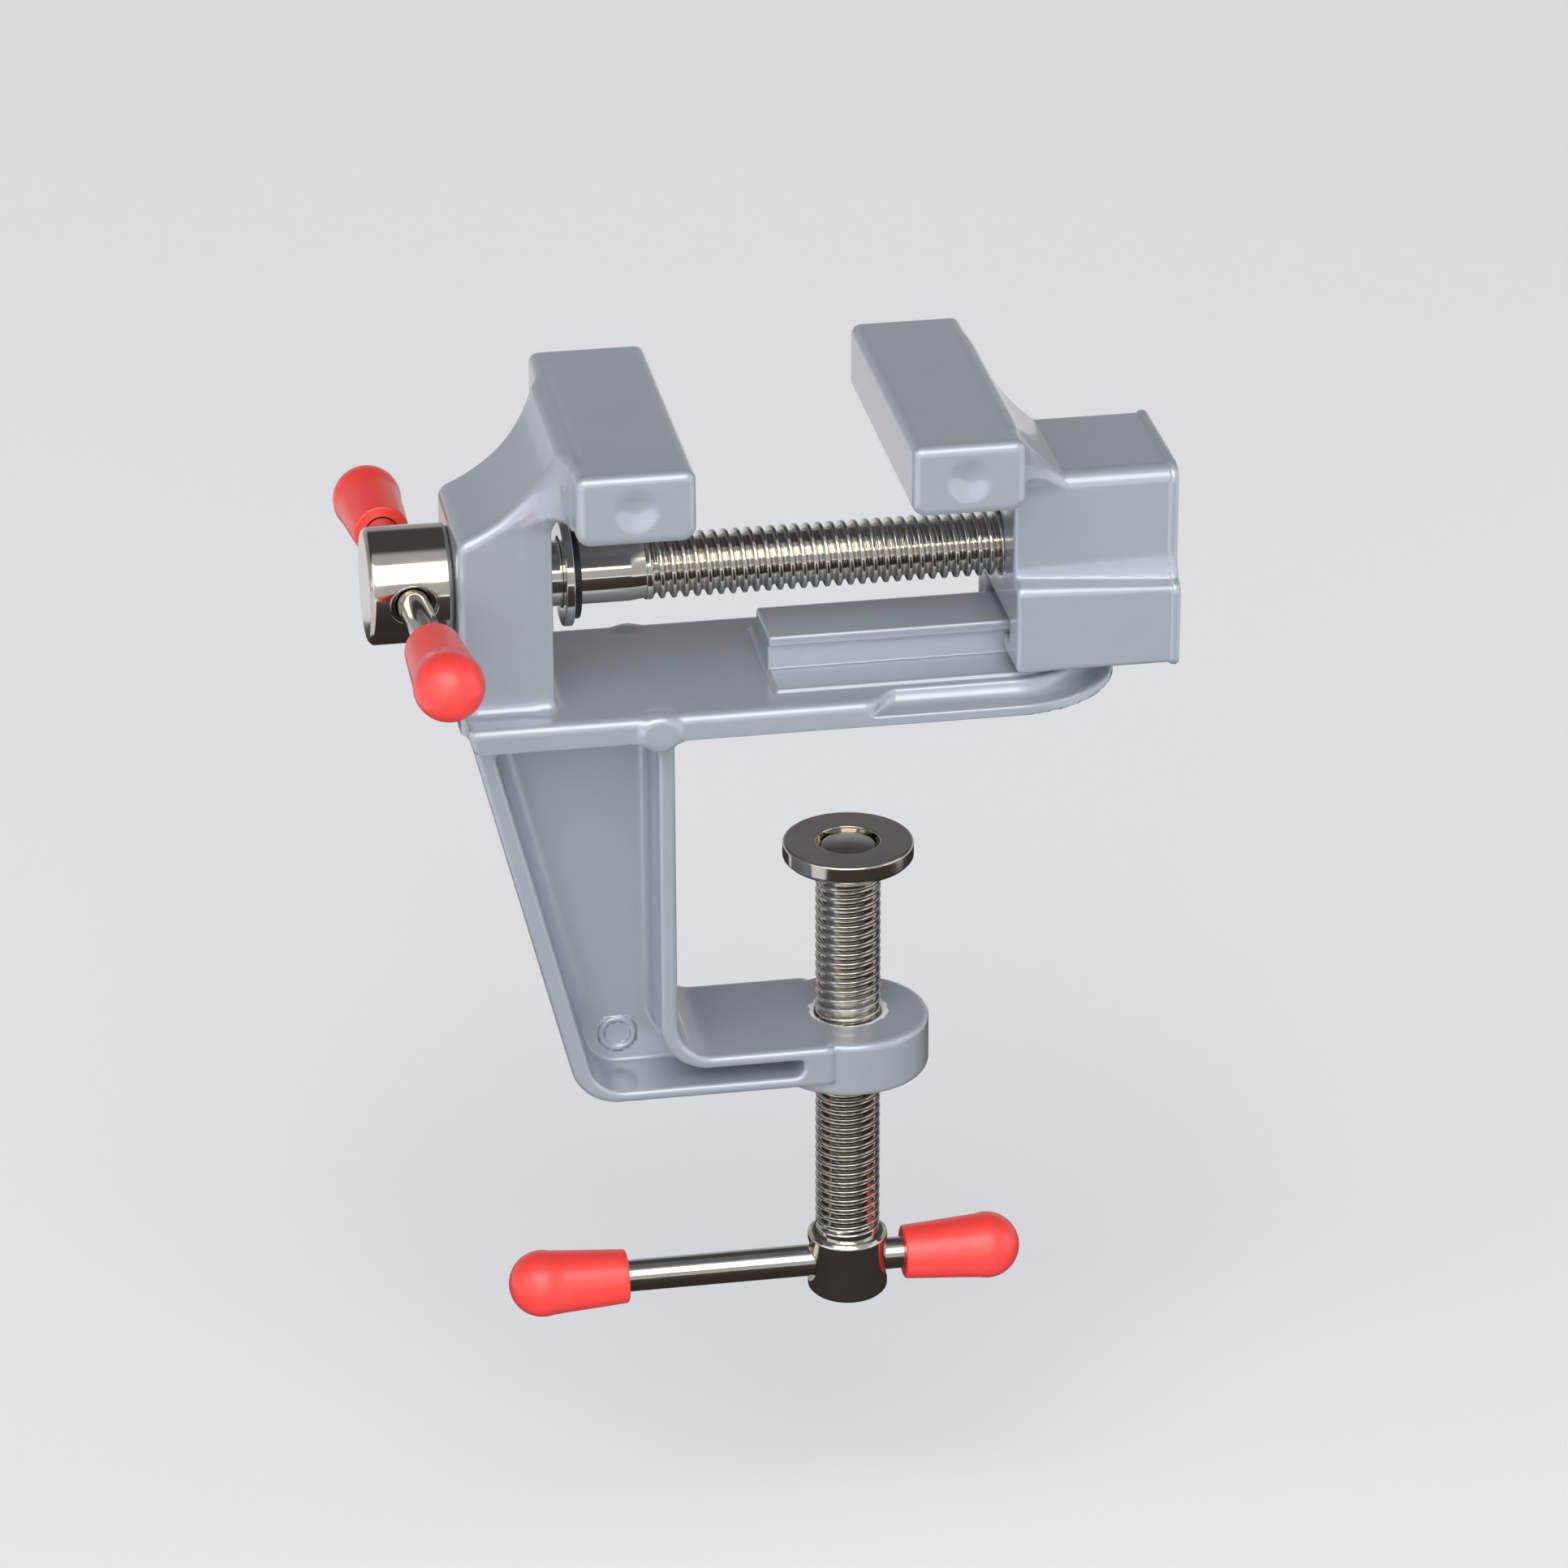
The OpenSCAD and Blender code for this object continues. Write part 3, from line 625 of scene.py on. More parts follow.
def lacquer_nodes(tree):
    """Silver-grey lacquer on a die casting: satin, faintly uneven like the cast skin under it, with
    a fine metal flake that breaks up the gloss. Where the clamp hole was tapped, the cut goes
    through the lacquer and leaves a ragged ring of bare metal. The ring is coloured near white
    and made less metallic. This is a painted highlight that stands in for the glint of the curled
    burr, which is too fine for the mesh."""
    place = node(tree, "ShaderNodeTexCoord")
    patches = node(
        tree,
        "ShaderNodeTexNoise",
        {"Scale": 1 / 0.006, "Detail": 3.0},
        {"Vector": (place, "Object")},
    )
    flake = node(
        tree,
        "ShaderNodeTexNoise",
        {"Scale": 1 / 0.0005, "Detail": 2.0},
        {"Vector": (place, "Object")},
    )
    tone = node(
        tree,
        "ShaderNodeMix",
        {"data_type": "RGBA", 6: linear("#A5ACB6"), 7: linear("#ACB3BC")},
        {0: (patches, "Fac")},
    )
    gloss = node(
        tree,
        "ShaderNodeMapRange",
        {"From Min": 0.3, "From Max": 0.7, "To Min": 0.28, "To Max": 0.34},
        {"Value": (flake, "Fac")},
    )
    hole_reach = node(
        tree,
        "ShaderNodeVectorMath",
        {"operation": "DISTANCE", 1: hole_mouth},
        {0: (place, "Object")},
    )
    ragged = node(
        tree,
        "ShaderNodeTexNoise",
        {"Scale": 1 / 0.0012, "Detail": 2.0},
        {"Vector": (place, "Object")},
    )
    ragged_reach = node(
        tree,
        "ShaderNodeMath",
        {"operation": "MULTIPLY_ADD", 1: 0.0011},
        {0: (ragged, "Fac"), 2: (hole_reach, "Value")},
    )
    # Painted highlight: a ragged ring round the tapped hole, where the lacquer is cut to bare
    # metal, turned near white and less metallic in place of the burr's glint.
    bare_ring_and_painted_glint = node(
        tree,
        "ShaderNodeMapRange",
        {"From Min": (tapped_half + 1.4) * MM, "From Max": (tapped_half + 1.2) * MM},
        {"Value": (ragged_reach, 0)},
    )
    coloured = node(
        tree,
        "ShaderNodeMix",
        {"data_type": "RGBA", 7: linear("#F1F2F4")},
        {0: (bare_ring_and_painted_glint, 0), 6: (tone, 2)},
    )
    metal = node(
        tree, "ShaderNodeMapRange", {"To Min": 0.34, "To Max": 0.1}, {"Value": (bare_ring_and_painted_glint, 0)}
    )
    skin = node(
        tree,
        "ShaderNodeTexNoise",
        {"Scale": 1 / 0.0016, "Detail": 2.0},
        {"Vector": (place, "Object")},
    )
    bump = node(
        tree,
        "ShaderNodeBump",
        {"Strength": 0.25, "Distance": 0.00006},
        {"Height": (skin, "Fac")},
    )
    return node(
        tree,
        "ShaderNodeBsdfPrincipled",
        {"Coat Weight": 0.8, "Coat Roughness": 0.08},
        {
            "Base Color": (coloured, 2),
            "Metallic": (metal, 0),
            "Roughness": (gloss, 0),
            "Normal": (bump, 0),
        },
    )


casting_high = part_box("frame_casting")[1]
shift = np.array([casting_high.x / MM - base_reach, 0, 0])
hole_mouth = tuple((np.array([boss_x, 0, throat_floor]) + shift) * MM)
lacquer = finished_material("silver_grey_lacquer_on_die_casting", lacquer_nodes)
frame_low = (pedestal_x0, -jaw_half, boss_foot)
frame_high = (base_reach, jaw_half, fixed_jaw_top)
frame_skin = cast_skin(frame_field, frame_low, frame_high, casting_cell)
frame_piece = make_piece("frame_casting_skin", [frame_skin], lacquer, shift)
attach(frame_piece, "frame")
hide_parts("frame_casting")


# Moving jaw: the second casting, of the same alloy and lacquer. Its bar leans back on a flared
# neck to a hollow block that is open behind and below, tapped for the screw through its front
# wall, with a swept step above the skirt that straddles the rail and a bead round its open end.
moving_jaw_x = (26.1, 39.3)
moving_jaw_top = 37.4
block_x0, block_x1 = 40.2, 59.7
block_top = 28.4
block_half = 9.5
skirt_half = 11.7
skirt_top = 15.1
skirt_fall = 1.0
ledge_slope = 0.4
block_foot = 4.15
front_wall = 8.0
block_wall = 2.4
front_edge = 9.2
foot_top = 6.55
slot_half = 3.95
bead_width = 1.2
bead_rise = 0.32
moving_flare = (18.4, 16.0, 8.0, 3.2, 1.6)
block_cell = 0.33

moving_inner = rounded_outline(
    [
        (moving_jaw_x[1] - 1.5, moving_jaw_top - jaw_height + 0.3, 0),
        (moving_jaw_x[1] - 1.5, 60, 0),
        (block_x1 + 9, 60, 0),
        (block_x1 + 9, 12, 0),
        (block_x0, 12, 0),
        (block_x0, moving_jaw_top - jaw_height + 0.3, 1.0),
    ]
)


def block_front(x, across, z):
    """The block seen from the front: a skirt with a sloping ledge, and above it a narrower body
    whose foot sweeps outwards, only a little at the neck and higher and further at the open end.
    The ledge falls a little towards that end."""
    share = np.clip((x - block_x0) / (block_x1 - block_x0), 0, 1)
    skirt_edge = skirt_top - skirt_fall * share
    ledge = (z - skirt_edge - ledge_slope * (skirt_half - across)) / math.hypot(1, ledge_slope)
    skirt = common(ledge, across - skirt_half, 0.9 - 0.45 * share)
    sweep_height = 1.4 + 1.9 * share
    climb = np.clip((skirt_edge + 0.8 + sweep_height - z) / sweep_height, 0, 1.2)
    body = (across - block_half - (0.35 + 0.45 * share) * climb**2) / 1.04
    body = common(merge(body, skirt, 0.2), z - block_top, 1.9)
    return common(body, block_foot + bead_rise - z, 0.6)


def moving_jaw_field(x, y, z):
    """The whole moving jaw."""
    across = np.abs(y)
    front = block_front(x, across, z)
    block = common(front, slab(x, block_x0, block_x1 - 0.5), 0.7)
    lean = neck(x, y, z, moving_jaw_x[1], moving_jaw_top, 1, moving_inner, *moving_flare)
    lean = common(lean, x - block_x1 + 0.6, 0.3)
    body = np.minimum(block, lean)
    body = merge(body, jaw_bar(x, y, z, moving_jaw_x, moving_jaw_top), 0.7)
    bead = common(front - bead_rise, slab(x, block_x1 - bead_width, block_x1), 0.5)
    body = merge(body, bead, 0.06)
    inner = np.maximum(across - block_half + block_wall, foot_top - z)
    hollow = common(np.maximum(inner, block_x0 + front_wall - x), z - block_top + block_wall, 1.2)
    low_hollow = np.maximum(inner, z - front_edge)
    slot = np.maximum(across - slot_half, z - foot_top - 1)
    body = common(body, -hollow, 0.5)
    body = common(body, -low_hollow, 0.4)
    body = common(body, -slot, 0.3)
    bore = np.maximum(np.hypot(y, z - screw_height) - screw_bore_half, x - block_x1 + 2)
    return common(body, -bore, 0.3)


jaw_skin = cast_skin(
    moving_jaw_field,
    (moving_jaw_x[0], -jaw_half, block_foot),
    (block_x1, jaw_half, moving_jaw_top),
    block_cell,
)
jaw_piece = make_piece("moving_jaw_skin", [jaw_skin], lacquer, shift)
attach(jaw_piece, "moving_jaw")
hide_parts("moving_jaw")


# Vise screw: a turned and nickel-plated steel screw. Its drilled head takes the handle rod, its
# plain shank turns in the pedestal, and its rolled thread drives the moving jaw.
def rounded_profile(corners, steps=5):
    """Points and outward normals along an open profile of corners (along, radius, rounding). Each
    corner becomes an arc; the solid lies on the right of the way along."""
    sharp = np.array([c[:2] for c in corners], float)
    points, normals = [], []
    for i, (a, b, r) in enumerate(corners):
        if i in (0, len(corners) - 1):
            other = sharp[1] if i == 0 else sharp[-2]
            way = (other - sharp[i]) if i == 0 else (sharp[i] - other)
            way = way / np.linalg.norm(way)
            points.append(sharp[i])
            normals.append((-way[1], way[0]))
            continue
        back, ahead = sharp[i - 1] - sharp[i], sharp[i + 1] - sharp[i]
        back, ahead = back / np.linalg.norm(back), ahead / np.linalg.norm(ahead)
        half = math.acos(np.clip(back @ ahead, -1, 1)) / 2
        middle = (back + ahead) / np.linalg.norm(back + ahead)
        centre = sharp[i] + middle * r / math.sin(half)
        n0 = np.array((back[1], -back[0]))
        n1 = np.array((-ahead[1], ahead[0]))
        outer = 1 if n0 @ middle < 0 else -1
        for share in np.linspace(0, 1, steps + 1):
            turn = math.acos(np.clip(n0 @ n1, -1, 1))
            n = (math.sin((1 - share) * turn) * n0 + math.sin(share * turn) * n1) / math.sin(turn)
            points.append(centre + outer * r * n)
            normals.append(n)
    return np.array(points), np.array(normals)


def grid_faces(rows, columns, start=0, closed=False):
    """Faces of a grid of rows of points, each row a closed ring; closed joins last row to first."""
    i = np.arange(rows if closed else rows - 1)[:, None]
    j = np.arange(columns)[None, :]
    i2, j2 = (i + 1) % rows, (j + 1) % columns
    quads = np.stack(
        [i * columns + j, i * columns + j2, i2 * columns + j2, i2 * columns + j], -1
    )
    return quads.reshape(-1, 4) + start


def turned(profile, centre, axis, around=96, closed=False):
    """A profile (along, radius) turned about an axis through centre: each point goes round a ring.
    An end on the axis becomes a single point."""
    points, normals = profile
    axis = np.array(axis, float)
    side = np.array((0.0, 0.0, 1.0)) if abs(axis[2]) < 0.5 else np.array((1.0, 0.0, 0.0))
    other = np.cross(axis, side)
    angle = np.arange(around) * 2 * math.pi / around
    spoke = np.cos(angle)[:, None] * side + np.sin(angle)[:, None] * other
    place = np.array(centre) + points[:, 0, None, None] * axis + points[:, 1, None, None] * spoke
    normal = normals[:, 0, None, None] * axis + normals[:, 1, None, None] * spoke
    return skin_of_rings(place, normal, points[:, 1], closed)


def skin_of_rings(place, normal, radius, closed=False):
    """Rings of points made into one skin, with a fan where the first or last ring is a point."""
    rows, columns = place.shape[:2]
    first = 1 if radius[0] < 1e-6 else 0
    last = rows - 1 if radius[-1] < 1e-6 else rows
    points = place[first:last].reshape(-1, 3)
    normals = normal[first:last].reshape(-1, 3)
    faces = [grid_faces(last - first, columns, 0, closed)]
    ring = np.arange(columns)
    ahead = (ring + 1) % columns
    if first:
        points = np.concatenate([points, place[0, :1]])
        normals = np.concatenate([normals, normal[0, :1]])
        tip = np.full(columns, len(points) - 1)
        faces.append(np.stack([tip, ahead, ring], 1))
    if last < rows:
        points = np.concatenate([points, place[-1, :1]])
        normals = np.concatenate([normals, normal[-1, :1]])
        tip = np.full(columns, len(points) - 1)
        base = (last - first - 1) * columns
        faces.append(np.stack([tip, ring + base, ahead + base], 1))
    return points, faces, normals


thread_depth = 0.72


def thread_share(phase):
    """Height of a rolled thread, from root to crest, over one pitch: a rounded trapezium."""
    rise = np.clip((1 - np.abs(2 * (phase % 1) - 1) - 0.16) / 0.62, 0, 1)
    return rise * rise * (3 - 2 * rise)


def threaded(profile, thread, centre, axis, around=72, per_pitch=16):
    """A turned profile with a thread between two places along it: each ring's radius dips to the
    thread's root by its phase, which grows along the axis and with the angle; both ends run out."""
    points, _ = profile
    start, stop, crest, pitch = thread
    fine = np.arange(start, stop, pitch / per_pitch)
    angle = np.arange(around) * 2 * math.pi / around
    axis = np.array(axis, float)
    side = np.array((0.0, 0.0, 1.0)) if abs(axis[2]) < 0.5 else np.array((1.0, 0.0, 0.0))
    other = np.cross(axis, side)
    head = points[points[:, 0] <= start]
    tail = points[points[:, 0] >= stop]
    rows = np.concatenate([head, np.stack([fine[1:], np.full(len(fine) - 1, crest)], 1), tail])
    x, r = rows[:, :1], rows[:, 1:]
    depth = thread_depth * ramp((x - start) / pitch) * ramp((stop - x) / pitch + 0.3)
    depth = np.where((x > start) & (x < stop + 0.01), depth, 0)
    cut = depth * (1 - thread_share(x / pitch - angle / (2 * math.pi)))
    radius = np.minimum(r, np.where(depth > 0, crest - cut, r))
    spoke = np.cos(angle)[:, None] * side + np.sin(angle)[:, None] * other
    place = np.array(centre) + x[:, :, None] * axis + radius[:, :, None] * spoke
    along_step = np.gradient(place, axis=0)
    round_step = np.roll(place, -1, 1) - np.roll(place, 1, 1)
    normal = np.cross(round_step, along_step)
    size = np.linalg.norm(normal, axis=2, keepdims=True)
    normal = np.where(size > 1e-12, normal / np.maximum(size, 1e-12), axis)
    outward = np.sign((normal * spoke).sum(2, keepdims=True).mean())
    return skin_of_rings(place, normal * outward, rows[:, 1])


head_x0 = -34.85
head_length = 9.8
head_half = 6.9
head_chamfer = 0.5
hole_x = 4.65
hole_gap = 0.06
hole_sink = 0.85
handle_lean = math.radians(3.0)
rod_half = 1.95
shank_half = 3.85
screw_pitch = 1.4
thread_x0, thread_x1 = -1.65, 51.85
clip_x = -10.85
clip_thick = 0.8
groove_half = 3.2


def drilled_head(x, y, z, length, half, hole_x, lean):
    """A short bar along x from zero, with chamfered ends and a cross hole, countersunk at both
    mouths, that runs along y at hole_x, turned by lean about z."""
    bar = common(np.hypot(y, z) - half, slab(x, 0, length), 0.0001)
    chamfer = np.hypot(y, z) - half + np.abs(x - length / 2) - length / 2 + head_chamfer
    chamfer = chamfer / math.sqrt(2)
    bar = common(bar, chamfer, 0.12)
    aside = (x - hole_x) * math.cos(lean) + y * math.sin(lean)
    hole = np.hypot(aside, z) - rod_half - hole_gap
    sink = (np.hypot(aside, z) - rod_half - np.abs(y) + half - hole_sink) / math.sqrt(2)
    return common(common(bar, -hole, 0.12), -sink, 0.1)


def vise_head_field(x, y, z):
    """The head of the vise screw, whose hole lies a little askew."""
    x, z = x - head_x0, z - screw_height
    return drilled_head(x, y, z, head_length, head_half, hole_x, handle_lean)


def steel_nodes(grain):
    """Nickel plate on turned steel: bright and slightly warm, with the fine rings that the tool
    left across the axis; grain says how closely they repeat along each axis, per metre."""

    def add(tree):
        place = node(tree, "ShaderNodeTexCoord")
        stretch = node(
            tree, "ShaderNodeMapping", {"Scale": grain}, {"Vector": (place, "Object")}
        )
        rings = node(
            tree, "ShaderNodeTexNoise", {"Scale": 1.0, "Detail": 3.0}, {"Vector": (stretch, 0)}
        )
        smudge = node(
            tree,
            "ShaderNodeTexNoise",
            {"Scale": 1 / 0.004, "Detail": 2.0},
            {"Vector": (place, "Object")},
        )
        gloss = node(
            tree,
            "ShaderNodeMapRange",
            {"From Min": 0.35, "From Max": 0.7, "To Min": 0.06, "To Max": 0.14},
            {"Value": (smudge, "Fac")},
        )
        tone = node(
            tree,
            "ShaderNodeMix",
            {"data_type": "RGBA", 6: linear("#C9C3B8"), 7: linear("#D8D4CC")},
            {0: (smudge, "Fac")},
        )
        bump = node(
            tree,
            "ShaderNodeBump",
            {"Strength": 0.12, "Distance": 0.00002},
            {"Height": (rings, "Fac")},
        )
        return node(
            tree,
            "ShaderNodeBsdfPrincipled",
            {"Metallic": 1.0},
            {"Base Color": (tone, 2), "Roughness": (gloss, 0), "Normal": (bump, 0)},
        )

    return add


steel_along_x = finished_material("nickel_plated_steel_turned_along_x", steel_nodes((6000, 90, 90)))
steel_along_y = finished_material("nickel_plated_steel_turned_along_y", steel_nodes((90, 6000, 90)))
steel_along_z = finished_material("nickel_plated_steel_turned_along_z", steel_nodes((90, 90, 6000)))
head_cell = 0.16
head_skin = cast_skin(
    vise_head_field,
    (head_x0, -head_half, screw_height - head_half),
    (head_x0 + head_length, head_half, screw_height + head_half),
    head_cell,
)
shank_profile = rounded_profile(
    [
        (head_x0 + head_length - 1, 0, 0),
        (head_x0 + head_length - 1, shank_half, 0.1),
        (clip_x - 0.05, shank_half, 0.05),
        (clip_x - 0.05, groove_half, 0.05),
        (clip_x + clip_thick + 0.05, groove_half, 0.05),
        (clip_x + clip_thick + 0.05, shank_half, 0.05),
        (thread_x0 - 2.35, shank_half, 0.2),
        (thread_x0 - 0.5, shank_half - 0.22, 0.1),
        (thread_x0 - 0.45, shank_half, 0.02),
        (thread_x1 - 0.6, shank_half - 0.1, 0.1),
        (thread_x1, shank_half - 0.7, 0.1),
        (thread_x1, 0, 0),
    ]
)
shank_skin = threaded(
    shank_profile,
    (thread_x0 - 0.4, thread_x1 - 0.6, shank_half, screw_pitch),
    (0, 0, screw_height),
    (1, 0, 0),
)
vise_screw_piece = make_piece("vise_screw_skin", [head_skin, shank_skin], steel_along_x, shift)
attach(vise_screw_piece, "vise_screw")
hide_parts("vise_screw")


# Thrust washer: a plain pressed steel washer, nickel plated, loose on the shank behind the
# pedestal; it takes the pull of the screw when the jaws open.
washer_x = -12.0
washer_thick = 1.1
washer_half = 6.3
washer_bore = 4.2


def ring_profile(x0, x1, inner, outer, r):
    """The closed outline of a flat ring's section, with rounded edges."""
    corners = [(x0, inner), (x0, outer), (x1, outer), (x1, inner)]
    middle = ((x0 + x1) / 2, inner)
    path = [(*middle, 0)] + [(*c, r) for c in corners] + [(*middle, 0)]
    points, normals = rounded_profile(path)
    return points[:-1], normals[:-1]


washer_skin = turned(
    ring_profile(washer_x, washer_x + washer_thick, washer_bore, washer_half, 0.18),
    (0, 0, screw_height),
    (1, 0, 0),
    closed=True,
)
washer_piece = make_piece("thrust_washer_skin", [washer_skin], steel_along_x, shift)
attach(washer_piece, "vise_screw")
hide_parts("thrust_washer")


# Retaining clip: an E-clip of spring steel, stamped, hardened and black phosphated, snapped into
# the shank's groove, where three lugs hold it.
clip_half = 5.5
clip_mouth = 2.5
lug_half = 0.7
clip_clear = 0.1
lug_clear = 0.05
clip_cell = 0.12


def clip_field(x, y, z):
    """The clip: a flat ring with a mouth, and three lugs that reach into the groove."""
    v = z - screw_height
    r = np.hypot(y, v)
    ring = np.maximum(r - clip_half, shank_half + clip_clear - r)
    lug = np.full(np.broadcast(y, v).shape, 1e3)
    for turn in (90, 210, 330):
        c, s = math.cos(math.radians(turn)), math.sin(math.radians(turn))
        lug = np.minimum(lug, np.maximum(np.abs(y * s - v * c) - lug_half, -(y * c + v * s)))
    lug = np.maximum(np.maximum(lug, r - clip_half + 0.5), groove_half + lug_clear - r)
    flat = merge(ring, lug, 0.3)
    mouth = np.maximum(np.abs(y) - clip_mouth, v)
    flat = common(flat, -mouth, 0.25)
    return common(flat, slab(x, clip_x, clip_x + clip_thick), 0.12)


def phosphate_nodes(tree):
    """Black phosphate on spring steel: near black, oily satin, faintly mottled."""
    place = node(tree, "ShaderNodeTexCoord")
    mottle = node(
        tree,
        "ShaderNodeTexNoise",
        {"Scale": 1 / 0.0008, "Detail": 3.0},
        {"Vector": (place, "Object")},
    )
    tone = node(
        tree,
        "ShaderNodeMix",
        {"data_type": "RGBA", 6: linear("#17181A"), 7: linear("#26282B")},
        {0: (mottle, "Fac")},
    )
    gloss = node(
        tree,
        "ShaderNodeMapRange",
        {"To Min": 0.3, "To Max": 0.5},
        {"Value": (mottle, "Fac")},
    )
    return node(
        tree,
        "ShaderNodeBsdfPrincipled",
        {"Metallic": 0.3},
        {"Base Color": (tone, 2), "Roughness": (gloss, 0)},
    )


phosphate = finished_material("black_phosphated_spring_steel", phosphate_nodes)
clip_skin = cast_skin(
    clip_field,
    (clip_x, -clip_half, screw_height - clip_half),
    (clip_x + clip_thick, clip_half, screw_height + clip_half),
    clip_cell,
)
clip_piece = make_piece("retaining_clip_skin", [clip_skin], phosphate, shift)
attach(clip_piece, "vise_screw")
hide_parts("retaining_clip")


# Handles: a drawn and nickel-plated rod slides in each screw's head, and a dipped cap of soft red
# vinyl on each end keeps it from falling out. Both handles are alike.
rod_length = 55.5
cap_length = 10.5
cap_mouth_half = 3.3
cap_neck_half = 3.85
cap_ball_half = 4.1


def rod_profile():
    """The rod, from its middle to both chamfered ends."""
    half = rod_length / 2
    return rounded_profile(
        [
            (-half, 0, 0),
            (-half, rod_half - 0.4, 0.1),
            (-half + 0.4, rod_half, 0.1),
            (half - 0.4, rod_half, 0.1),
            (half, rod_half - 0.4, 0.1),
            (half, 0, 0),
        ]
    )


def cap_profile():
    """The cap along the rod from its end's middle out: a tapering sleeve with a crisp mouth runs
    into a slightly fuller ball, and the bore takes the rod's end."""
    end = rod_length / 2
    mouth = end - cap_length
    corners = [
        (end + 0.05, 0, 0),
        (end + 0.05, rod_half + 0.05, 0.1),
        (mouth, rod_half + 0.05, 0.15),
        (mouth, cap_mouth_half, 0.3),
        (end - 2.4, cap_neck_half, 1.5),
        (end - 1.6, cap_neck_half + 0.12, 0.4),
    ]
    points, normals = rounded_profile(corners)
    points, normals = points[:-1], normals[:-1]
    from_angle = math.acos((cap_neck_half + 0.12) / cap_ball_half)
    angle = np.linspace(-from_angle, math.pi / 2, 26)
    ball = np.stack([end + cap_ball_half * np.sin(angle), cap_ball_half * np.cos(angle)], 1)
    ball_normals = np.stack([np.sin(angle), np.cos(angle)], 1)
    ball[-1, 1] = 0
    return np.concatenate([points, ball]), np.concatenate([normals, ball_normals])


def vinyl_nodes(tree):
    """Dipped soft vinyl: strong red, low gloss with a broad sheen, and a skin that is faintly
    uneven where it drained from the former."""
    place = node(tree, "ShaderNodeTexCoord")
    drain = node(
        tree,
        "ShaderNodeTexNoise",
        {"Scale": 1 / 0.003, "Detail": 2.0},
        {"Vector": (place, "Object")},
    )
    skin = node(
        tree,
        "ShaderNodeTexNoise",
        {"Scale": 1 / 0.0005, "Detail": 3.0},
        {"Vector": (place, "Object")},
    )
    tone = node(
        tree,
        "ShaderNodeMix",
        {"data_type": "RGBA", 6: linear("#EA3A34"), 7: linear("#F2443D")},
        {0: (drain, "Fac")},
    )
    gloss = node(
        tree,
        "ShaderNodeMapRange",
        {"To Min": 0.36, "To Max": 0.5},
        {"Value": (skin, "Fac")},
    )
    bump = node(
        tree, "ShaderNodeBump", {"Strength": 0.15, "Distance": 0.00005}, {"Height": (skin, "Fac")}
    )
    return node(
        tree,
        "ShaderNodeBsdfPrincipled",
        {"IOR": 1.5, "Coat Weight": 0.6, "Coat Roughness": 0.25},
        {"Base Color": (tone, 2), "Roughness": (gloss, 0), "Normal": (bump, 0)},
    )


red_vinyl = finished_material("dipped_red_vinyl", vinyl_nodes)
vise_rod_slide = 1.8
clamp_rod_slide = 10.3
vise_rod_axis = (-math.sin(handle_lean), math.cos(handle_lean), 0)
vise_rod_centre = (
    head_x0 + hole_x - vise_rod_slide * vise_rod_axis[0],
    -vise_rod_slide * vise_rod_axis[1],
    screw_height,
)
clamp_head_z0, clamp_head_z1 = -82.3, -74.1
clamp_rod_centre = (boss_x - clamp_rod_slide, 0, (clamp_head_z0 + clamp_head_z1) / 2)
for handle, centre, axis, steel, ends in (
    ("vise_handle", vise_rod_centre, vise_rod_axis, steel_along_y, ("near", "far")),
    ("clamp_handle", clamp_rod_centre, (1, 0, 0), steel_along_x, ("left", "right")),
):
    rod = make_piece(handle + "_rod_skin", [turned(rod_profile(), centre, axis, 64)], steel, shift)
    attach(rod, handle)
    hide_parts(handle + "_rod")
    for end, sign in zip(ends, (-1, 1)):
        way = tuple(sign * a for a in axis)
        cap_skin = turned(cap_profile(), centre, way, 72)
        cap = make_piece(handle + "_cap_" + end + "_skin", [cap_skin], red_vinyl, shift)
        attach(cap, handle)
        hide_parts(handle + "_cap_" + end)


# Clamp screw: the long M8 screw that grips from below, of turned and nickel-plated steel. Its head
# is drilled for the handle, and its tip is turned down and riveted over to hold the pad.
clamp_head_half = 4.9
clamp_thread_half = 3.95
clamp_pitch = 1.25
grip_height = 21.0
pad_top = -grip_height
pad_foot = -23.9
thread_top = -24.2


def clamp_head_field(x, y, z):
    """The head of the clamp screw; its hole runs along x."""
    length = clamp_head_z1 - clamp_head_z0
    return drilled_head(z - clamp_head_z0, x - boss_x, y, length, clamp_head_half, length / 2, 0)


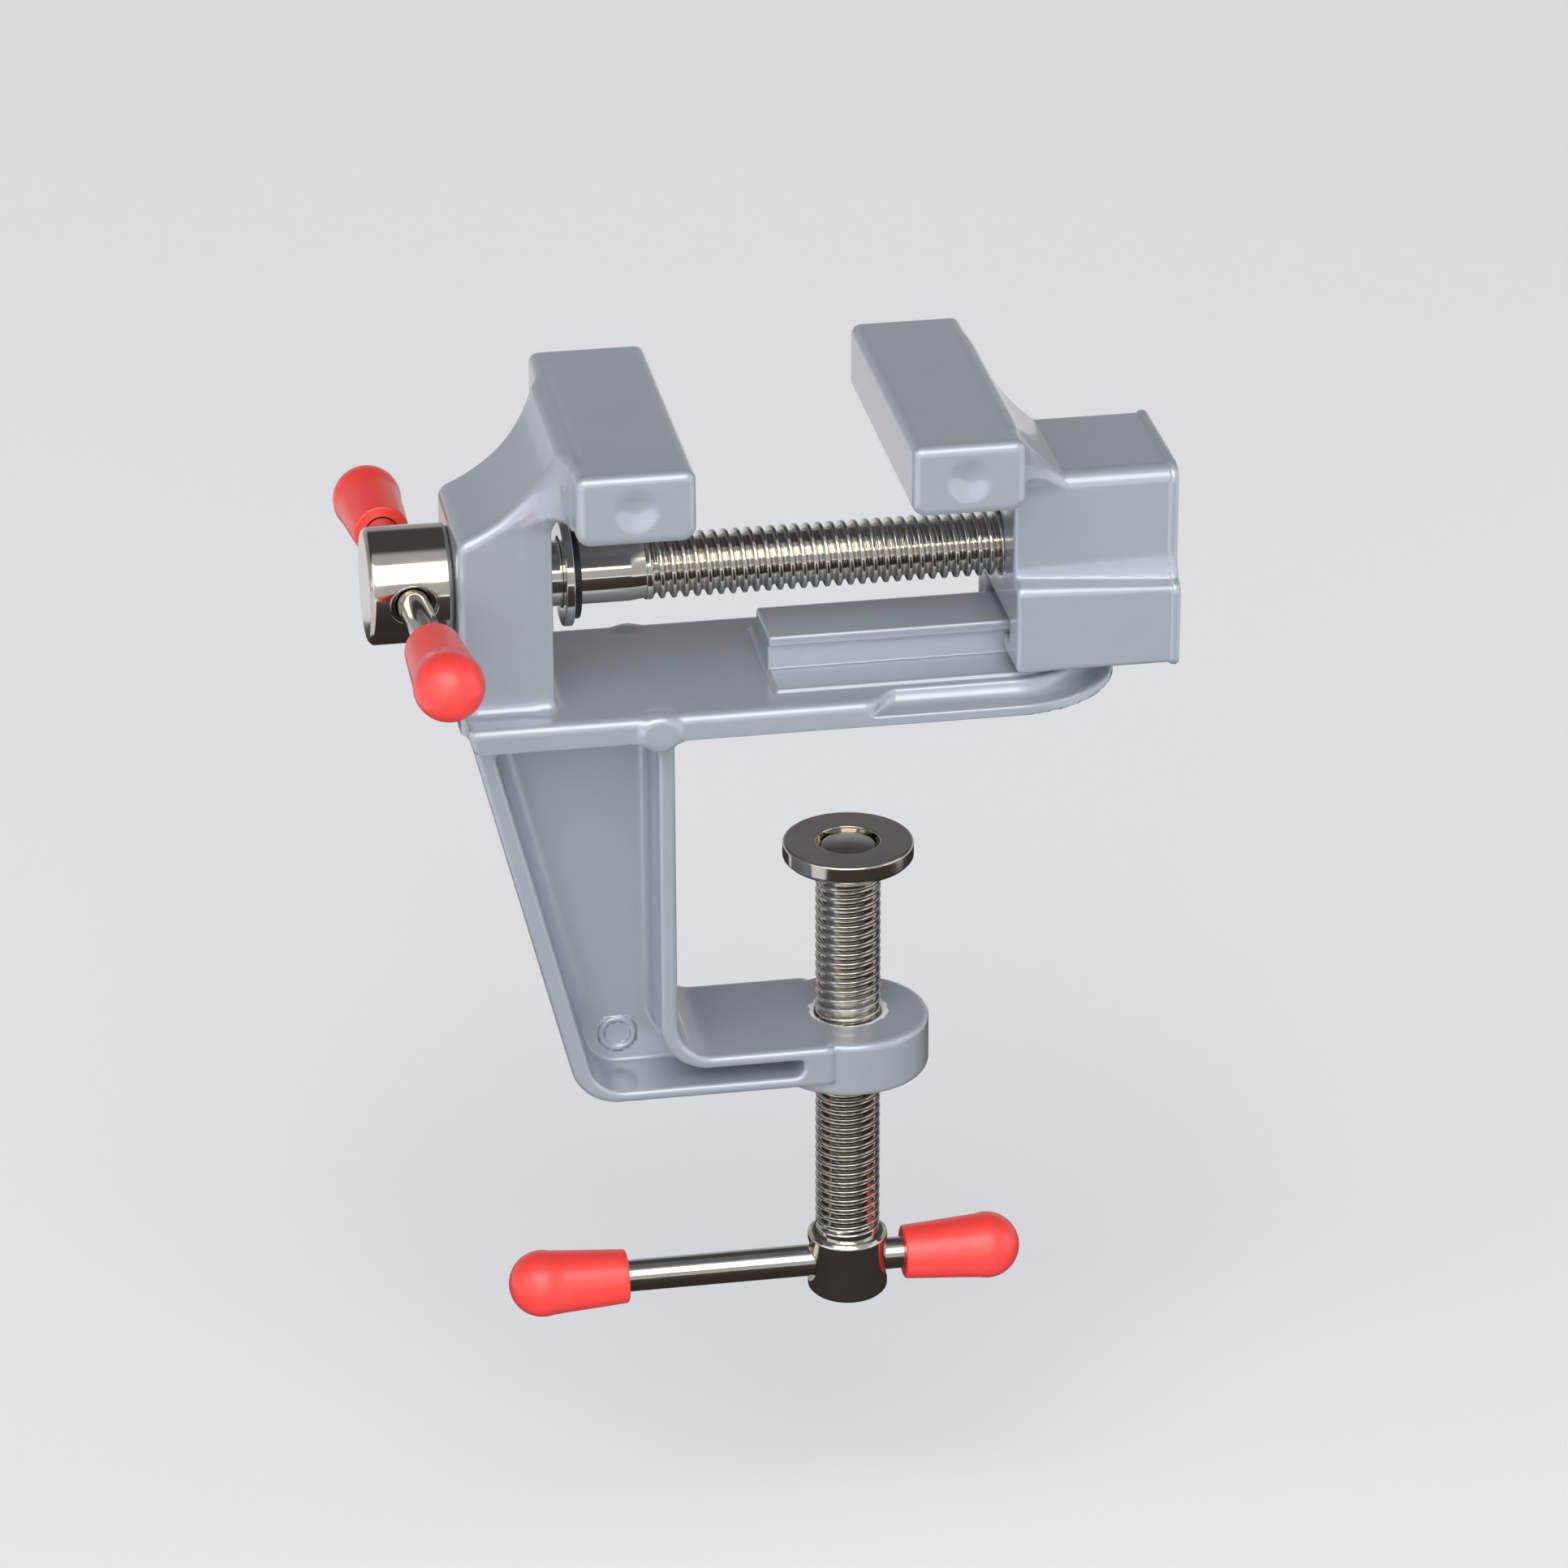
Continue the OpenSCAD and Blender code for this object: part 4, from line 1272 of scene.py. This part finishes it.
clamp_head_skin = cast_skin(
    clamp_head_field,
    (boss_x - clamp_head_half, -clamp_head_half, clamp_head_z0),
    (boss_x + clamp_head_half, clamp_head_half, clamp_head_z1),
    head_cell,
)
clamp_profile = rounded_profile(
    [
        (clamp_head_z1 - 0.6, 0, 0),
        (clamp_head_z1 - 0.6, clamp_thread_half, 0.1),
        (thread_top - 0.6, clamp_thread_half, 0.1),
        (thread_top, clamp_thread_half - 0.7, 0.1),
        (thread_top, 2.5, 0.1),
        (pad_top - 1.1, 2.5, 0.1),
        (pad_top - 1.1, 3.5, 0.1),
        (pad_top - 0.5, 3.2, 0.2),
        (pad_top - 0.3, 0, 0),
    ]
)
clamp_thread_skin = threaded(
    clamp_profile,
    (clamp_head_z1 + 0.5, thread_top - 0.6, clamp_thread_half, clamp_pitch),
    (boss_x, 0, 0),
    (0, 0, 1),
)
clamp_skins = [clamp_head_skin, clamp_thread_skin]
clamp_piece = make_piece("clamp_screw_skin", clamp_skins, steel_along_z, shift)
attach(clamp_piece, "clamp_screw")
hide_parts("clamp_screw")


# Clamp pad: a pressed and nickel-plated steel dish that swivels on the screw's tip, so that it
# stays still while the screw turns under it. Its rim is turned up and its well holds the rivet.
pad_half = 7.9
pad_hole_half = 2.65
pad_well_half = 3.8
pad_well_floor = pad_top - 1.4
pad_corners = [
    (pad_foot, pad_hole_half, 0.1),
    (pad_foot, 4.3, 0.5),
    (pad_foot + 0.5, pad_half - 0.5, 0.5),
    (pad_foot + 1.0, pad_half, 0.4),
    (pad_top, pad_half, 0.3),
    (pad_top, pad_well_half, 0.2),
    (pad_well_floor, pad_well_half, 0.1),
    (pad_well_floor, pad_hole_half, 0.1),
]
pad_start = ((pad_foot + pad_well_floor) / 2, pad_hole_half, 0)
pad_points, pad_normals = rounded_profile([pad_start] + pad_corners + [pad_start])
pad_skin = turned((pad_points[:-1], pad_normals[:-1]), (boss_x, 0, 0), (0, 0, 1), closed=True)
pad_piece = make_piece("clamp_pad_skin", [pad_skin], steel_along_z, shift)
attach(pad_piece, "clamp_pad")
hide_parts("clamp_pad")
